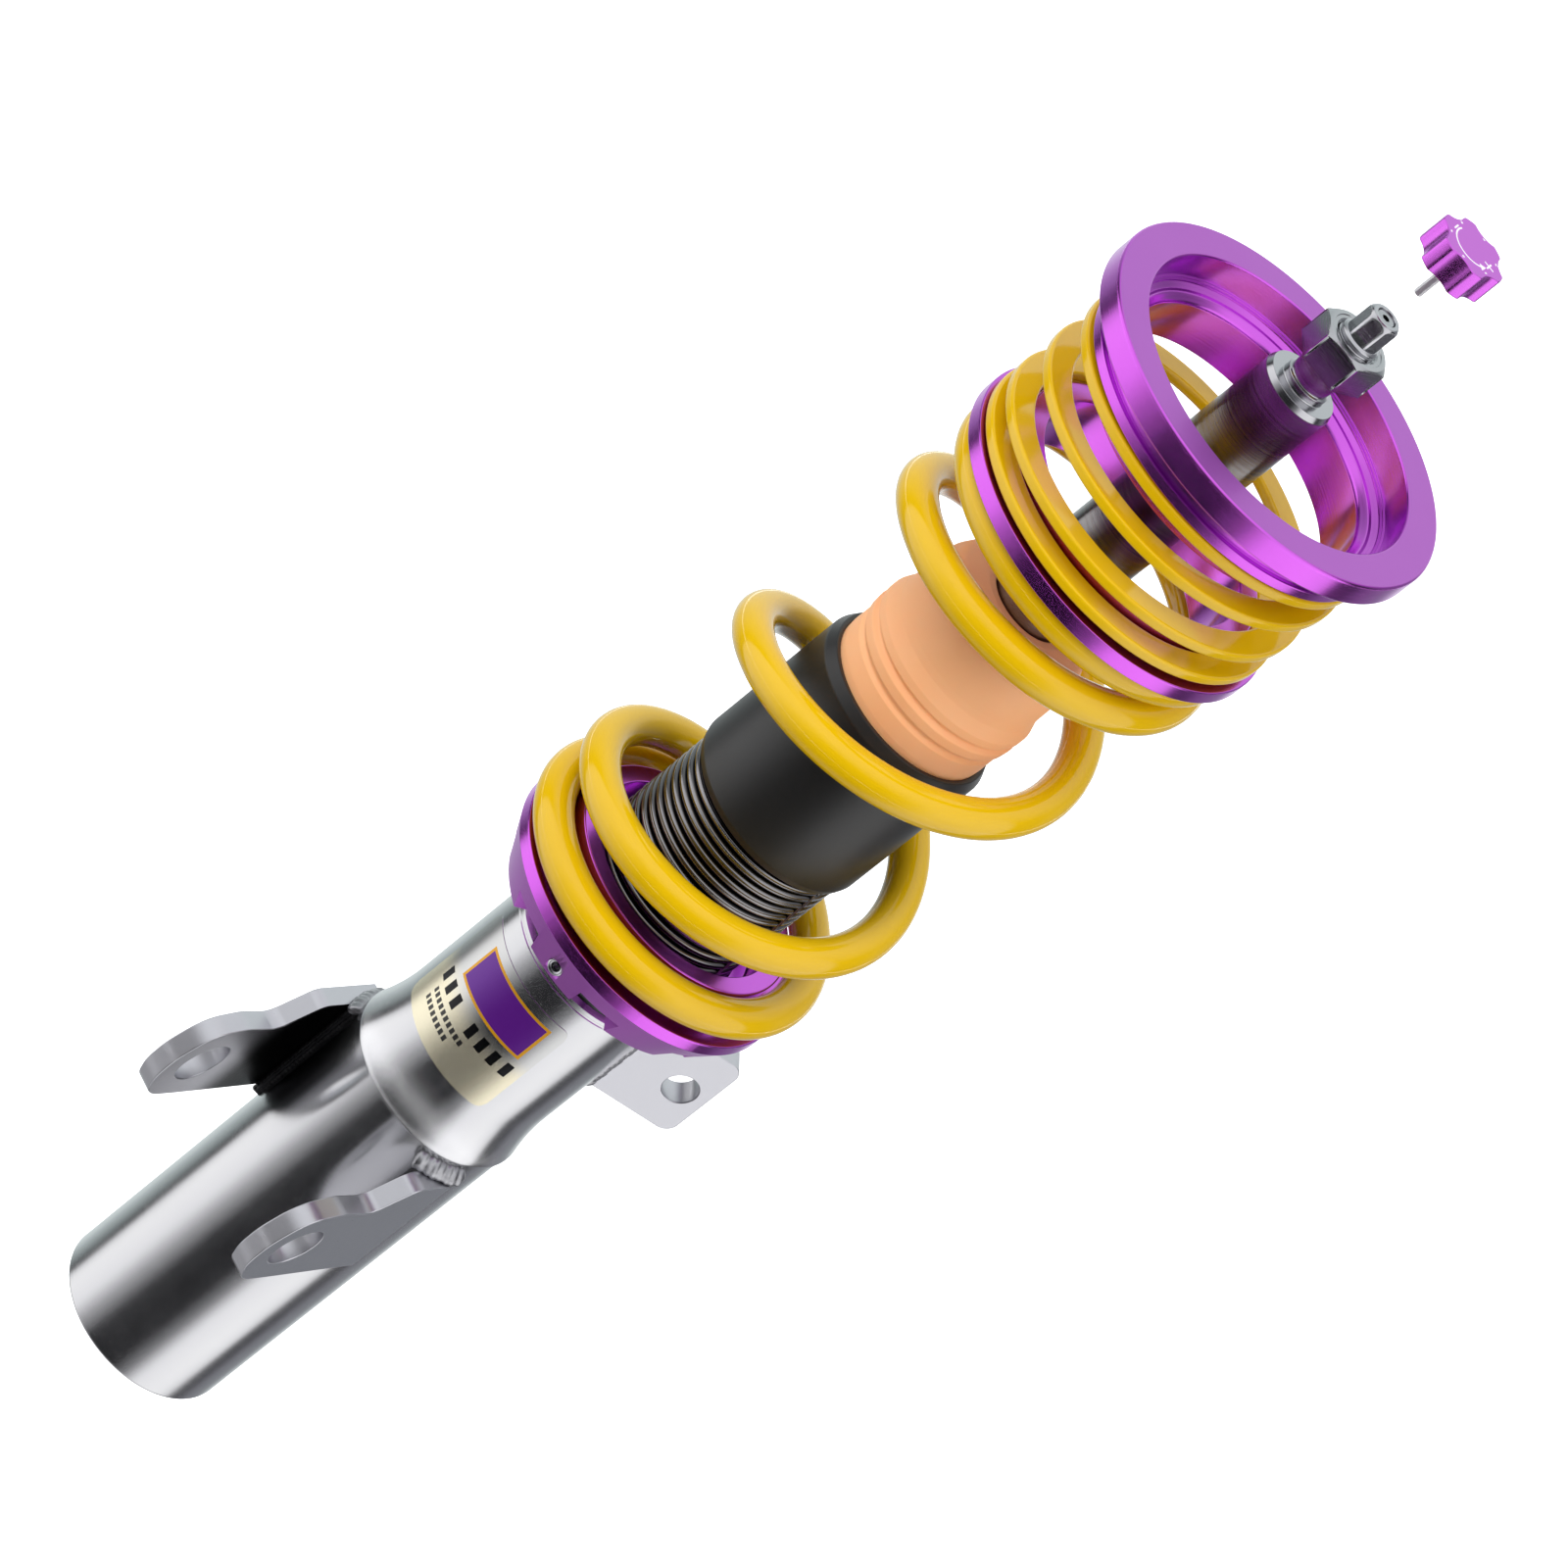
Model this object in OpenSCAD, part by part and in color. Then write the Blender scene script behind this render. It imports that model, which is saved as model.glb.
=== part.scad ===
// Coilover strut for a front axle: welded strut body with two knuckle ears, screw-adjusted
// spring perch, main and helper springs, bump stop, damper rod and click-free rebound adjuster.
// Frame: Z along the strut, rod end up. Origin: centre of the clamp tube's lower end.
// X is the line through the two ear holes, and the ears stand out towards -Y. Millimetres.

/* [View] */

// Piece to draw, or all of them

/* [Strut body] */

// Outer diameter of the lower tube that the knuckle clamps
clamp_d = 55; // [50:0.5:60]
// Length of tube that goes into the knuckle, up to a fine turned depth line
clamp_land = 74; // [60:0.5:75]

// Height of the step where the lower tube enters the housing
clamp_z = 126.5; // [110:0.5:140]

// Outer diameter of the smooth part of the housing
housing_d = 51.8; // [48:0.1:56]

// Height of the top of the housing
housing_z = 310; // [300:1:320]

// Crest diameter of the perch thread
thread_d = 52; // [48:0.5:56]

// Pitch of the perch thread
thread_pitch = 3; // [2:0.5:4]

/* [Ears and hose tab] */

// Plate thickness of the ears
ear_t = 6; // [4:0.5:8]

// Inner face of the left ear, measured from the strut axis
ear_left_x = 27.5; // [27.5:0.1:30]

// Inner face of the right ear, measured from the strut axis
ear_right_x = 23.6; // [20:0.1:27]

// Distance of the bolt holes in front of the strut axis
ear_reach = 49.2; // [40:0.1:60]

// Height of the bolt holes
ear_z = 95.3; // [85:0.1:105]

// Bolt hole diameter
ear_hole_d = 16.2; // [12:0.1:18]

// Direction of the hose tab round the strut
tab_dir = 51.2; // [0:0.1:90]

// Thickness of the hose tab
tab_t = 8; // [4:0.5:10]

// Reach of the hose tab from the strut axis
tab_reach = 56.2; // [50:0.1:62]

// Hole diameter of the hose tab
tab_hole_d = 10.2; // [8:0.1:12]

/* [Damper rod] */

// Damper rod diameter
rod_d = 22; // [18:0.5:25]

// Height of the rod's upper shoulder
rod_z = 455.5; // [440:0.5:470]

// Outer diameter of the threaded stud
stud_d = 12; // [10:1:14]

// Pitch of the stud thread
stud_pitch = 1.25; // [1:0.25:1.75]

// Top nut width across flats
nut_af = 19; // [17:1:22]

// Top nut height
nut_h = 10; // [8:0.5:12]

// Width across flats of the rod's key end
key_af = 9; // [7:0.5:10]

/* [Springs] */

// Wire diameter of the main spring
wire_d = 11; // [9:0.5:13]

// Mean diameter of the main spring
spring_d = 83.5; // [78:0.5:90]

// Axial thickness of the helper spring's flat wire
helper_h = 3.2; // [2.5:0.1:4.5]

// Radial width of the helper spring's flat wire
helper_w = 8; // [6:0.5:10]

/* [Seats and perch] */

// Outer diameter of the top spring seat
seat_d = 109.4; // [100:0.2:120]

// Outer diameter of the perch flange
perch_d = 89; // [84:0.5:96]

// Number of spanner notches in the perch
perch_notches = 8; // [4:1:12]

// Width of a spanner notch, in degrees
notch_w = 19; // [12:1:24]

/* [Rebound knob] */

// Number of lobes on the knob
lobes = 6; // [5:1:10]

// Diameter over the lobes
knob_d = 20.8; // [18:0.2:24]

// Height of the knob
knob_h = 8.7; // [6:0.1:12]

/* [Hidden] */
$fn = 96;

steel = [0.62, 0.62, 0.65];
dark = [0.30, 0.30, 0.33];
purple = [0.55, 0.20, 0.65];
yellow = [0.88, 0.70, 0.05];

clamp_r = clamp_d / 2;
housing_r = housing_d / 2;
housing_bore = 22.8;
lap_z = clamp_z + 8.5;
lap_r = 25.6;
flare_top = clamp_z + 18.5;
thread_r = thread_d / 2;
thread_root = thread_r - 1.4;
thread_z0 = 193;
thread_z1 = 265;
land_r = thread_r - 0.8;
rod_r = rod_d / 2;
stud_r = stud_d / 2;
stud_z = rod_z + 9.6;
nut_z = rod_z + 9.1;
key_z = rod_z + 20;
key_top = key_z + 9;
spring_r = spring_d / 2;
perch_z = 211.5;
flange_t = 3.8;
main_z0 = perch_z + flange_t + wire_d / 2 + 0.3;
sep_under = 390.3;
main_z1 = sep_under - wire_d / 2 - 0.3;
sep_top = sep_under + 1.7;
seat_band_z = 431.4;
helper_z0 = sep_top + helper_h / 2;
helper_z1 = seat_band_z - 0.3 - helper_h / 2;
front = -70.25;
knob_z = 505.3;
scallop_r = 6;

// ---- shapes used by several pieces ----

module turned(p) {
  rotate_extrude() polygon(p);
}

module ring(ri, ro, z0, z1) {
  translate([0, 0, z0])
    difference() {
      cylinder(r = ro, h = z1 - z0);
      translate([0, 0, -1]) cylinder(r = ri, h = z1 - z0 + 2);
    }
}

// A hexagon bar: af across its flats, with one flat facing "front".
module hexbar(af, z0, z1) {
  translate([0, 0, z0])
    rotate([0, 0, front - 30])
      cylinder(r = af / 2 / cos(30), h = z1 - z0, $fn = 6);
}

// A wedge of a ring, from angle a0 over da degrees.
module wedge(ri, ro, z0, z1, a0, da) {
  translate([0, 0, z0])
    rotate([0, 0, a0])
      rotate_extrude(angle = da)
        translate([ri, 0]) square([ro - ri, z1 - z0]);
}

// Points of an arc round c, from angle a0 to a1.
function arc(c, r, a0, a1, n = 6) =
  [for (i = [0 : n]) let (a = a0 + (a1 - a0) * i / n) [c[0] + r * cos(a), c[1] + r * sin(a)]];

function unit(v) = v / norm(v);

// The corner b between a and c, rounded to radius r.
function corner(a, b, c, r, n = 5) =
  let (
    u = unit(a - b), v = unit(c - b), half = acos(u * v) / 2,
    mid = b + unit(u + v) * r / sin(half),
    p = b + u * r / tan(half), q = b + v * r / tan(half),
    s = p - mid, t = q - mid,
    a0 = atan2(s[1], s[0]), a1 = atan2(t[1], t[0]),
    d = a1 - a0 > 180 ? a1 - a0 - 360 : a1 - a0 < -180 ? a1 - a0 + 360 : a1 - a0
  )
  arc(mid, r, a0, a0 + d, n);

// A closed outline with every corner rounded to its own radius; r = 0 keeps it sharp.
function rounded(p, r) =
  let (n = len(p))
  [for (i = [0 : n - 1])
    each (r[i] == 0 ? [p[i]] : corner(p[(i + n - 1) % n], p[i], p[(i + 1) % n], r[i]))];

// ---- strut body ----

module clamp_tube() {
  color(steel)
    turned([[24.6, 0.8], [25.4, 0], [clamp_r, 0], [clamp_r, clamp_land],
            [clamp_r - 0.3, clamp_land + 0.2], [clamp_r - 0.3, clamp_land + 0.8], [clamp_r, clamp_land + 1],
            [clamp_r, clamp_z], [lap_r, clamp_z], [lap_r, lap_z], [24.6, lap_z]]);
}

module base_plug() {
  color(dark)
    turned([[0, 4], [22.6, 4], [24.6, 6], [24.6, 12], [0, 12]]);
}

function flare(n = 8) =
  [for (i = [0 : n]) let (t = i / n)
    [housing_r + 2.3 * pow(1 - t, 2), clamp_z + 0.9 + (flare_top - clamp_z - 0.9) * t]];

module strut_housing() {
  color(steel)
    turned(concat(
      [[lap_r, clamp_z], [housing_r + 2.3, clamp_z]],
      flare(),
      [[housing_r, 189.6], [housing_r - 0.3, 189.9], [housing_r - 0.3, 190.5], [housing_r, 190.8],
       [housing_r, thread_z0 - 1.4]],
      [for (z = [thread_z0 : thread_pitch : thread_z1 - 1])
        each [[thread_root, z], [thread_root, z + 0.5], [thread_r, z + 1.1], [thread_r, z + 2.3]]],
      [[land_r, thread_z1 + 0.2], [land_r, housing_z - 0.6], [land_r - 0.6, housing_z],
       [housing_bore, housing_z], [housing_bore, lap_z], [lap_r, lap_z]]));
}

// Ear outline round its bolt hole: first number outwards, second upwards.
function ear_line(back) =
  rounded(
    [[back, 24.8], [-26, 25.5], [-16, 15.2], [-3.5, 16.6], [9, 14.5], [14.3, 3.5], [14.3, -5],
     [9, -15.5], [-3.5, -15.9], [back, -16.2]],
    [0, 6, 6, 14, 14, 14, 14, 14, 14, 0]);

module ear(x, back, cut) {
  difference() {
    translate([x, -ear_reach, ear_z])
      rotate([90, 0, 90])
        linear_extrude(ear_t)
          difference() {
            polygon([for (p = ear_line(back)) [-p[0], p[1]]]);
            circle(d = ear_hole_d);
          }
    if (cut) translate([0, 0, 40]) cylinder(r = clamp_r, h = 100);
  }
}

module bracket_left() {
  color(steel) ear(-ear_left_x - ear_t, -ear_reach - 2, false);
}

module bracket_right() {
  color(steel) ear(ear_right_x, -ear_reach + 9.5, true);
}

// A run of weld round the tube, above an ear.
module bead(a0, da, z) {
  rotate([0, 0, a0])
    rotate_extrude(angle = da)
      translate([clamp_r - 0.4, z])
        polygon([[0, -3.4], [2, -3.3], [3.6, -1.6], [3.8, 0.4], [2.8, 2.2], [1, 3.1], [0, 3.2]]);
}

module bracket_welds() {
  color(dark)
    difference() {
      union() {
        translate([0, 0, 78.2])
          linear_extrude(42.3)
            polygon([[-27.5, -1], [-27.5, -12.4], [-26.6, -12.9], [-24.9, -11.9], [-20, -8]]);
        translate([0, 0, 79])
          linear_extrude(41.5)
            polygon([[23.6, -19], [19.5, -19.6], [14, -12], [23.6, -10]]);
        bead(180, 36, 123.4);
        bead(-46, 34, 123.4);
      }
      translate([0, 0, 60]) cylinder(r = clamp_r, h = 80);
      for (s = [-1, 1])
        translate([s < 0 ? -40 : ear_right_x, -40, 110]) cube([12.5, 45, 10.6]);
    }
}

module hose_tab() {
  color(steel)
    difference() {
      rotate([0, 0, tab_dir])
        translate([0, tab_t / 2, 155])
          rotate([90, 0, 0])
            linear_extrude(tab_t)
              difference() {
                polygon(rounded(
                  [[20, 0], [tab_reach, 0], [tab_reach, 31.5], [20, 31.5]], [0, 4, 4, 0]));
                translate([47.5, 15]) circle(d = tab_hole_d);
              }
      translate([0, 0, 140]) cylinder(r = housing_r, h = 60);
    }
}

module tab_weld() {
  color(dark)
    difference() {
      for (s = [-1, 1])
        rotate([0, 0, tab_dir])
          translate([0, 0, 155.5])
            linear_extrude(30.5)
              polygon([[20, s * 4], [28.6, s * 4], [27.6, s * 5.6], [25, s * 7.4], [20, s * 7.4]]);
      translate([0, 0, 140]) cylinder(r = housing_r, h = 60);
    }
}

module label() {
  color([0.93, 0.90, 0.80])
    wedge(housing_r, housing_r + 0.25, 145.5, 183, front - 65, 95);
}

module pressure_tube() {
  color(steel) ring(18, 19.5, 20, 290);
}

module base_valve() {
  color(dark)
    difference() {
      turned([[3, 12], [19.5, 12], [19.5, 20], [18, 20], [18, 25], [17, 26], [3, 26]]);
      for (a = [0 : 60 : 300])
        rotate([0, 0, a]) translate([11, 0, 11]) cylinder(r = 2, h = 16);
    }
}

module rod_guide() {
  color(dark)
    turned([[12.5, 282], [17.2, 282], [18, 282.8], [18, 290], [housing_bore, 290],
            [housing_bore, 300], [12.5, 300]]);
}

module guide_bush() {
  color([0.72, 0.52, 0.30]) ring(rod_r + 0.05, 12.5, 284, 300);
}

module rod_seal() {
  color([0.08, 0.08, 0.08])
    turned([[rod_r + 0.05, 300], [housing_bore, 300], [housing_bore, 306], [14, 306],
            [rod_r + 0.05, 303.5]]);
}

module closing_nut() {
  color(dark)
    difference() {
      ring(12.5, housing_bore, 306, housing_z);
      for (a = [0 : 90 : 270])
        rotate([0, 0, a]) translate([17.5, 0, 307.5]) cylinder(r = 1.8, h = 4);
    }
}

module dust_sleeve() {
  color([0.09, 0.09, 0.09])
    turned(concat(
      [[26.2, 262.5]],
      arc([25.7, 264.5], 2, -75, 0, 6),
      arc([24.7, 310.6], 3, 0, 62, 6),
      [[26.1, 314], [24.9, 313.6], [24.9, 311.5], [12.5, 311.5], [12.5, housing_z],
       [land_r, housing_z], [land_r, 266.4], [26.2, 266]]));
}

module bump_stop() {
  color([0.96, 0.66, 0.45])
    turned(concat(
      [[12, 312.5], [13, 311.5], [24.3, 311.5], [24.8, 312], [25, 317], [25, 320]],
      arc([25.4, 322.2], 1.5, 215, 145, 4),
      [[25.7, 324.6], [25.8, 326]],
      arc([25.6, 328], 1.4, 215, 145, 4),
      [[25.8, 329.8], [25.8, 331.4], [25.2, 333.8], [24.4, 335.6], [24.1, 337], [24, 340],
       [24, 349]],
      arc([20, 353.2], 4.3, 0, 78, 6),
      [[13, 357.5], [12, 356.5]]));
}

// ---- damper rod ----

module piston_rod() {
  color(steel)
    union() {
      turned(concat(
        [[1, 216], [6.2, 216], [7, 216.8], [7, 250], [rod_r, 250],
         [rod_r, rod_z - 1.6], [rod_r - 0.7, rod_z], [6.7, rod_z], [6.7, rod_z + 2],
         [stud_r, rod_z + 2.4], [stud_r, stud_z]],
        [for (z = [stud_z + 0.4 : stud_pitch : key_z - 1.6])
          each [[stud_r, z], [stud_r - 0.7, z + 0.45], [stud_r - 0.7, z + 0.65], [stud_r, z + 1.1]]],
        [[stud_r, key_z], [5.4, key_z + 0.7], [2.95, key_z + 0.7], [2.95, key_z - 10],
         [2.05, key_z - 10], [2.05, 222], [1, 222]]));
      difference() {
        intersection() {
          hexbar(key_af, key_z, key_top);
          turned([[0, key_z], [5, key_z], [5, key_top - 1.4], [4.1, key_top], [0, key_top]]);
        }
        translate([0, 0, key_z - 1]) cylinder(r = 2.95, h = 12);
      }
    }
}

module rebound_stop() {
  color(dark) ring(rod_r, 15, 266, 273);
}

module rebound_bumper() {
  color([0.10, 0.10, 0.10])
    turned([[rod_r, 273], [14.4, 273], [15, 273.6], [15, 280.5], [14, 281.5], [rod_r, 281.5]]);
}

module piston() {
  color(dark)
    difference() {
      turned([[7, 232], [17, 232], [17.7, 232.7], [17.7, 237], [17.1, 237], [17.1, 245],
              [17.7, 245], [17.7, 249.3], [17, 250], [7, 250]]);
      for (a = [0 : 60 : 300])
        rotate([0, 0, a]) translate([13.4, 0, 231]) cylinder(r = 1.6, h = 20);
    }
}

module piston_band() {
  color([0.35, 0.25, 0.18]) ring(17.1, 17.95, 237, 245);
}

module piston_nut() {
  color(steel)
    difference() {
      hexbar(21, 222, 232);
      translate([0, 0, 221]) cylinder(r = 7, h = 12);
    }
}

module top_nut() {
  color(steel)
    difference() {
      intersection() {
        hexbar(nut_af, nut_z, nut_z + nut_h);
        turned([[0, nut_z], [nut_af * 0.6, nut_z], [nut_af * 0.6, nut_z + nut_h - 1],
                [nut_af / 2 - 0.3, nut_z + nut_h], [0, nut_z + nut_h]]);
      }
      translate([0, 0, nut_z - 1]) cylinder(r = stud_r, h = nut_h + 2);
      translate([0, 0, nut_z + nut_h - 0.8]) cylinder(r1 = stud_r, r2 = stud_r + 1, h = 1);
    }
}

// ---- rebound adjuster ----

module adjuster_shaft() {
  color(dark)
    difference() {
      turned([[0, 246], [2, 246], [2, key_z - 9.5], [2.9, key_z - 9.5], [2.9, key_top - 0.7],
              [2.6, key_top - 0.4], [0, key_top - 0.4]]);
      hexbar(2.1, key_top - 6.9, key_top + 1);
    }
}

module needle() {
  color(steel) turned([[0, 223], [0.5, 223], [2, 226.5], [2, 244], [0, 244]]);
}

module rebound_knob() {
  color(purple)
    difference() {
      intersection() {
        translate([0, 0, knob_z])
          rotate([0, 0, front + 33.5])
            linear_extrude(knob_h)
              difference() {
                circle(d = knob_d);
                for (i = [0 : lobes - 1])
                  rotate([0, 0, 360 / lobes * (i + 0.5)])
                    translate([knob_d / 2 + scallop_r - 1.7, 0]) circle(r = scallop_r);
              }
        turned([[0, knob_z], [knob_d / 2 - 0.7, knob_z], [knob_d / 2 + 0.1, knob_z + 0.7],
                [knob_d / 2 + 0.1, knob_z + knob_h - 0.6], [knob_d / 2 - 0.5, knob_z + knob_h],
                [0, knob_z + knob_h]]);
      }
      hexbar(2, knob_z - 1, knob_z + 5.7);
    }
}

module knob_pin() {
  color(steel) hexbar(2, knob_z - 10.5, knob_z + 5.7);
}

// ---- springs, perch and seats ----

// Coil rise per turn, in millimetres, against the turned angle.
main_rise = [
  [-180, 0], [-60, 3], [0, 10], [120, 20], [300, 30], [400, 54], [480, 71], [620, 71], [700, 66],
  [900, 62], [980, 60], [1040, 32], [1140, 22], [1300, 18], [1440, 4], [1560, 0]
];
helper_rise = [
  [-180, 0], [0, 4], [180, 9], [360, 13], [540, 14], [960, 14], [1040, 8], [1120, 0], [1260, 0]
];

// Running height at every step of a coil, scaled to end at z1.
function coil_z(rise, a0, a1, n, z0, z1) =
  let (
    da = (a1 - a0) / n,
    sums = [for (i = 0, s = 0; i <= n;
      s = s + lookup(a0 + (i + 0.5) * da, rise) * da / 360, i = i + 1) s]
  )
  [for (s = sums) z0 + (z1 - z0) * s / sums[n]];

// A wire of the given section, [radial, upward] points, wound right-handed at radius r.
module coil(section, r, rise, a0, a1, n, z0, z1) {
  zs = coil_z(rise, a0, a1, n, z0, z1);
  m = len(section);
  da = (a1 - a0) / n;
  pts = [for (i = [0 : n])
    let (
      a = a0 + i * da + front,
      lean = atan(lookup(a0 + i * da, rise) / (2 * PI * r))
    )
    for (s = section)
      let (q = r + s[0], b = s[1] * sin(lean))
      [q * cos(a) + b * sin(a), q * sin(a) - b * cos(a), zs[i] + s[1] * cos(lean)]];
  polyhedron(
    points = pts,
    faces = concat(
      [for (i = [0 : n - 1], k = [0 : m - 1])
        [i * m + k, i * m + (k + 1) % m, (i + 1) * m + (k + 1) % m, (i + 1) * m + k]],
      [[for (k = [m - 1 : -1 : 0]) k]],
      [[for (k = [0 : m - 1]) n * m + k]]),
    convexity = 12);
}

module main_spring() {
  color(yellow)
    coil([for (k = [0 : 9]) [wire_d / 2 * cos(36 * k), wire_d / 2 * sin(36 * k)]],
      spring_r, main_rise, -180, 1560, 116, main_z0, main_z1);
}

module helper_spring() {
  w = helper_w / 2;
  h = helper_h / 2;
  color(yellow)
    coil([[w, -h + 0.5], [w, h - 0.5], [w - 0.5, h], [-w + 0.5, h], [-w, h - 0.5], [-w, -h + 0.5],
          [-w + 0.5, -h], [w - 0.5, -h]],
      44.3, helper_rise, -180, 1260, 128, helper_z0, helper_z1);
}

module spring_perch() {
  r = perch_d / 2;
  color(purple)
    difference() {
      turned([[29.5, 198.9], [37.3, 198.9], [37.7, 199.3], [r - 0.6, perch_z - 0.7],
              [r, perch_z], [r, perch_z + flange_t - 0.6], [r - 0.6, perch_z + flange_t],
              [35.5, perch_z + flange_t], [35.5, 226.2], [34.7, 227], [30.6, 227], [30, 226.4],
              [30, 217.2], [29.2, 216.4], [27, 216.4], [26.05, 215.4], [26.05, 201.4],
              [27.1, 200.4], [28.7, 200.4]]);
      for (i = [0 : perch_notches - 1])
        wedge(20, 50, 195, 205.5, -53 + 360 / perch_notches * i - notch_w / 2, notch_w);
      rotate([0, 0, -75.5])
        translate([20, 0, 203.7]) rotate([0, 90, 0]) cylinder(r = 2.5, h = 30);
    }
}

module set_screw() {
  color(dark)
    rotate([0, 0, -75.5])
      difference() {
        translate([28.2, 0, 203.7])
          rotate([0, 90, 0]) cylinder(r = 2.5, h = 11.1);
        translate([36.6, 0, 203.7])
          rotate([0, 90, 0]) cylinder(r = 2.5 / 2 / cos(30), h = 4, $fn = 6);
      }
}

module lock_pad() {
  color([0.85, 0.83, 0.78])
    rotate([0, 0, -75.5])
      translate([26.35, 0, 203.7])
        rotate([0, 90, 0]) cylinder(r = 2.4, h = 1.85);
}

module spring_separator() {
  color(purple)
    turned([[33.6, 380.8], [34.4, 380], [35, 380], [35.6, 380.6], [35.6, sep_under],
            [47.6, sep_under], [47.6, 387.9], [47.9, 387.6], [49, 387.6], [49.3, 387.9],
            [49.3, 391.4], [48.7, sep_top], [39.6, sep_top], [39.6, 398.4], [39, 399],
            [34.4, 399], [33.6, 398.2]]);
}

module top_spring_seat() {
  r = seat_d / 2;
  color(purple)
    turned(concat(
      [[38.6, 422.3], [38.9, 422], [39.2, 422], [39.6, 422.4], [39.6, seat_band_z],
       [47.7, seat_band_z], [48.2, seat_band_z + 0.5], [48.2, 433.9], [47.7, 434.4],
       [46.6, 434.4], [46.6, 440.2], [r - 0.7, 440.2]],
      [[r, 440.9], [r, 446.5], [r - 1, 447.5], [45, 447.5], [44.3, 446.8], [44.3, 439.3],
       [43.7, 439.3], [43.7, 438.8], [43.1, 438.8], [43.1, 438.2], [41.6, 437.2]],
      arc([41, 434.8], 2.4, 90, 180, 5)));
}

// ---- the assembly ----

clamp_tube();
base_plug();
strut_housing();
bracket_left();
bracket_right();
bracket_welds();
hose_tab();
tab_weld();
label();
pressure_tube();
base_valve();
rod_guide();
guide_bush();
rod_seal();
closing_nut();
dust_sleeve();
bump_stop();
piston_rod();
rebound_stop();
rebound_bumper();
piston();
piston_band();
piston_nut();
top_nut();
adjuster_shaft();
needle();
rebound_knob();
knob_pin();
main_spring();
spring_perch();
set_screw();
lock_pad();
spring_separator();
helper_spring();
top_spring_seat();
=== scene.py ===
import math

import bpy
from mathutils import Matrix, Quaternion, Vector


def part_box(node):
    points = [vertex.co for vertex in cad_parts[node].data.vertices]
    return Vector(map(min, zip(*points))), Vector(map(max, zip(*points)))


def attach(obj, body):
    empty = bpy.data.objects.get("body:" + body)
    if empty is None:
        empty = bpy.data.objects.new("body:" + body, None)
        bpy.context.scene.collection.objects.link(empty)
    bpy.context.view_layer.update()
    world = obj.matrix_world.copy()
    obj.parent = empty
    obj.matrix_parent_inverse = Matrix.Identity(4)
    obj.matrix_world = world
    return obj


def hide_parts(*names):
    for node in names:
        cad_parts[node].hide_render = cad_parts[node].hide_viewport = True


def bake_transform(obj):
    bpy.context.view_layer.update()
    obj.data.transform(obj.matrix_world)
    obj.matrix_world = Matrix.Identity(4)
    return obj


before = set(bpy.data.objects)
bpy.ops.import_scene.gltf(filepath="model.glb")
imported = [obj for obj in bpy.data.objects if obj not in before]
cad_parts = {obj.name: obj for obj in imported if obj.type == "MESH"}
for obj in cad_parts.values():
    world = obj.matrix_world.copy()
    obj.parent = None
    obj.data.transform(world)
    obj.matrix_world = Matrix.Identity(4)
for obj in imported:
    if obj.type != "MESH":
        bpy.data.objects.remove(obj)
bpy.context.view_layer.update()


# ---- Clamp tube -------------------------------------------------------------------------------
# The lower tube that the wheel knuckle clamps: drawn stainless steel, 55 mm across, polished
# round its girth. Its lower end is open and shows the pressed-in base plug.

def linear(hex_colour):
    """The linear colour of an sRGB hex value."""
    parts = [int(hex_colour[i:i + 2], 16) / 255 for i in (1, 3, 5)]
    return tuple(p / 12.92 if p <= 0.04045 else ((p + 0.055) / 1.055) ** 2.4 for p in parts) + (1,)


def add(tree, kind, inputs=None, **settings):
    """Adds a node. inputs takes values, or the sockets that feed them."""
    node = tree.nodes.new(kind)
    for name, value in settings.items():
        setattr(node, name, value)
    for name, value in (inputs or {}).items():
        if isinstance(value, bpy.types.NodeSocket):
            tree.links.new(value, node.inputs[name])
        else:
            node.inputs[name].default_value = value
    return node


def calc(tree, operation, *values):
    """The output of a maths node fed with values."""
    return add(tree, "ShaderNodeMath", dict(enumerate(values)), operation=operation).outputs[0]


def mapped(tree, value, ends=(0.0, 1.0), source=(0.0, 1.0), **settings):
    """The value carried over from the range source to the range ends."""
    return add(tree, "ShaderNodeMapRange", {
        "Value": value, "From Min": source[0], "From Max": source[1],
        "To Min": ends[0], "To Max": ends[1]}, **settings).outputs[0]


def bumped(tree, shader, height, strength, distance):
    """Gives the shader a relief of this height."""
    bump = add(tree, "ShaderNodeBump", {"Height": height, "Strength": strength, "Distance": distance})
    tree.links.new(bump.outputs[0], shader.inputs["Normal"])


def finish_named(name, **values):
    """A material with its shader set from values; returns the material, its tree and its shader."""
    made = bpy.data.materials.new(name)
    made.use_nodes = True
    shader = made.node_tree.nodes["Principled BSDF"]
    for socket, value in values.items():
        shader.inputs[socket.replace("_", " ")].default_value = value
    return made, made.node_tree, shader


def turning_lines(tree, spacing_mm):
    """Noise that runs round the strut's axis in rings of about that spacing."""
    place = add(tree, "ShaderNodeTexCoord")
    xyz = add(tree, "ShaderNodeSeparateXYZ", {0: place.outputs["Object"]})
    rings = add(tree, "ShaderNodeTexNoise", {
        "W": xyz.outputs["Z"], "Scale": 1000 / spacing_mm, "Detail": 3.0}, noise_dimensions="1D")
    return rings.outputs["Fac"], place.outputs["Object"]


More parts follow.
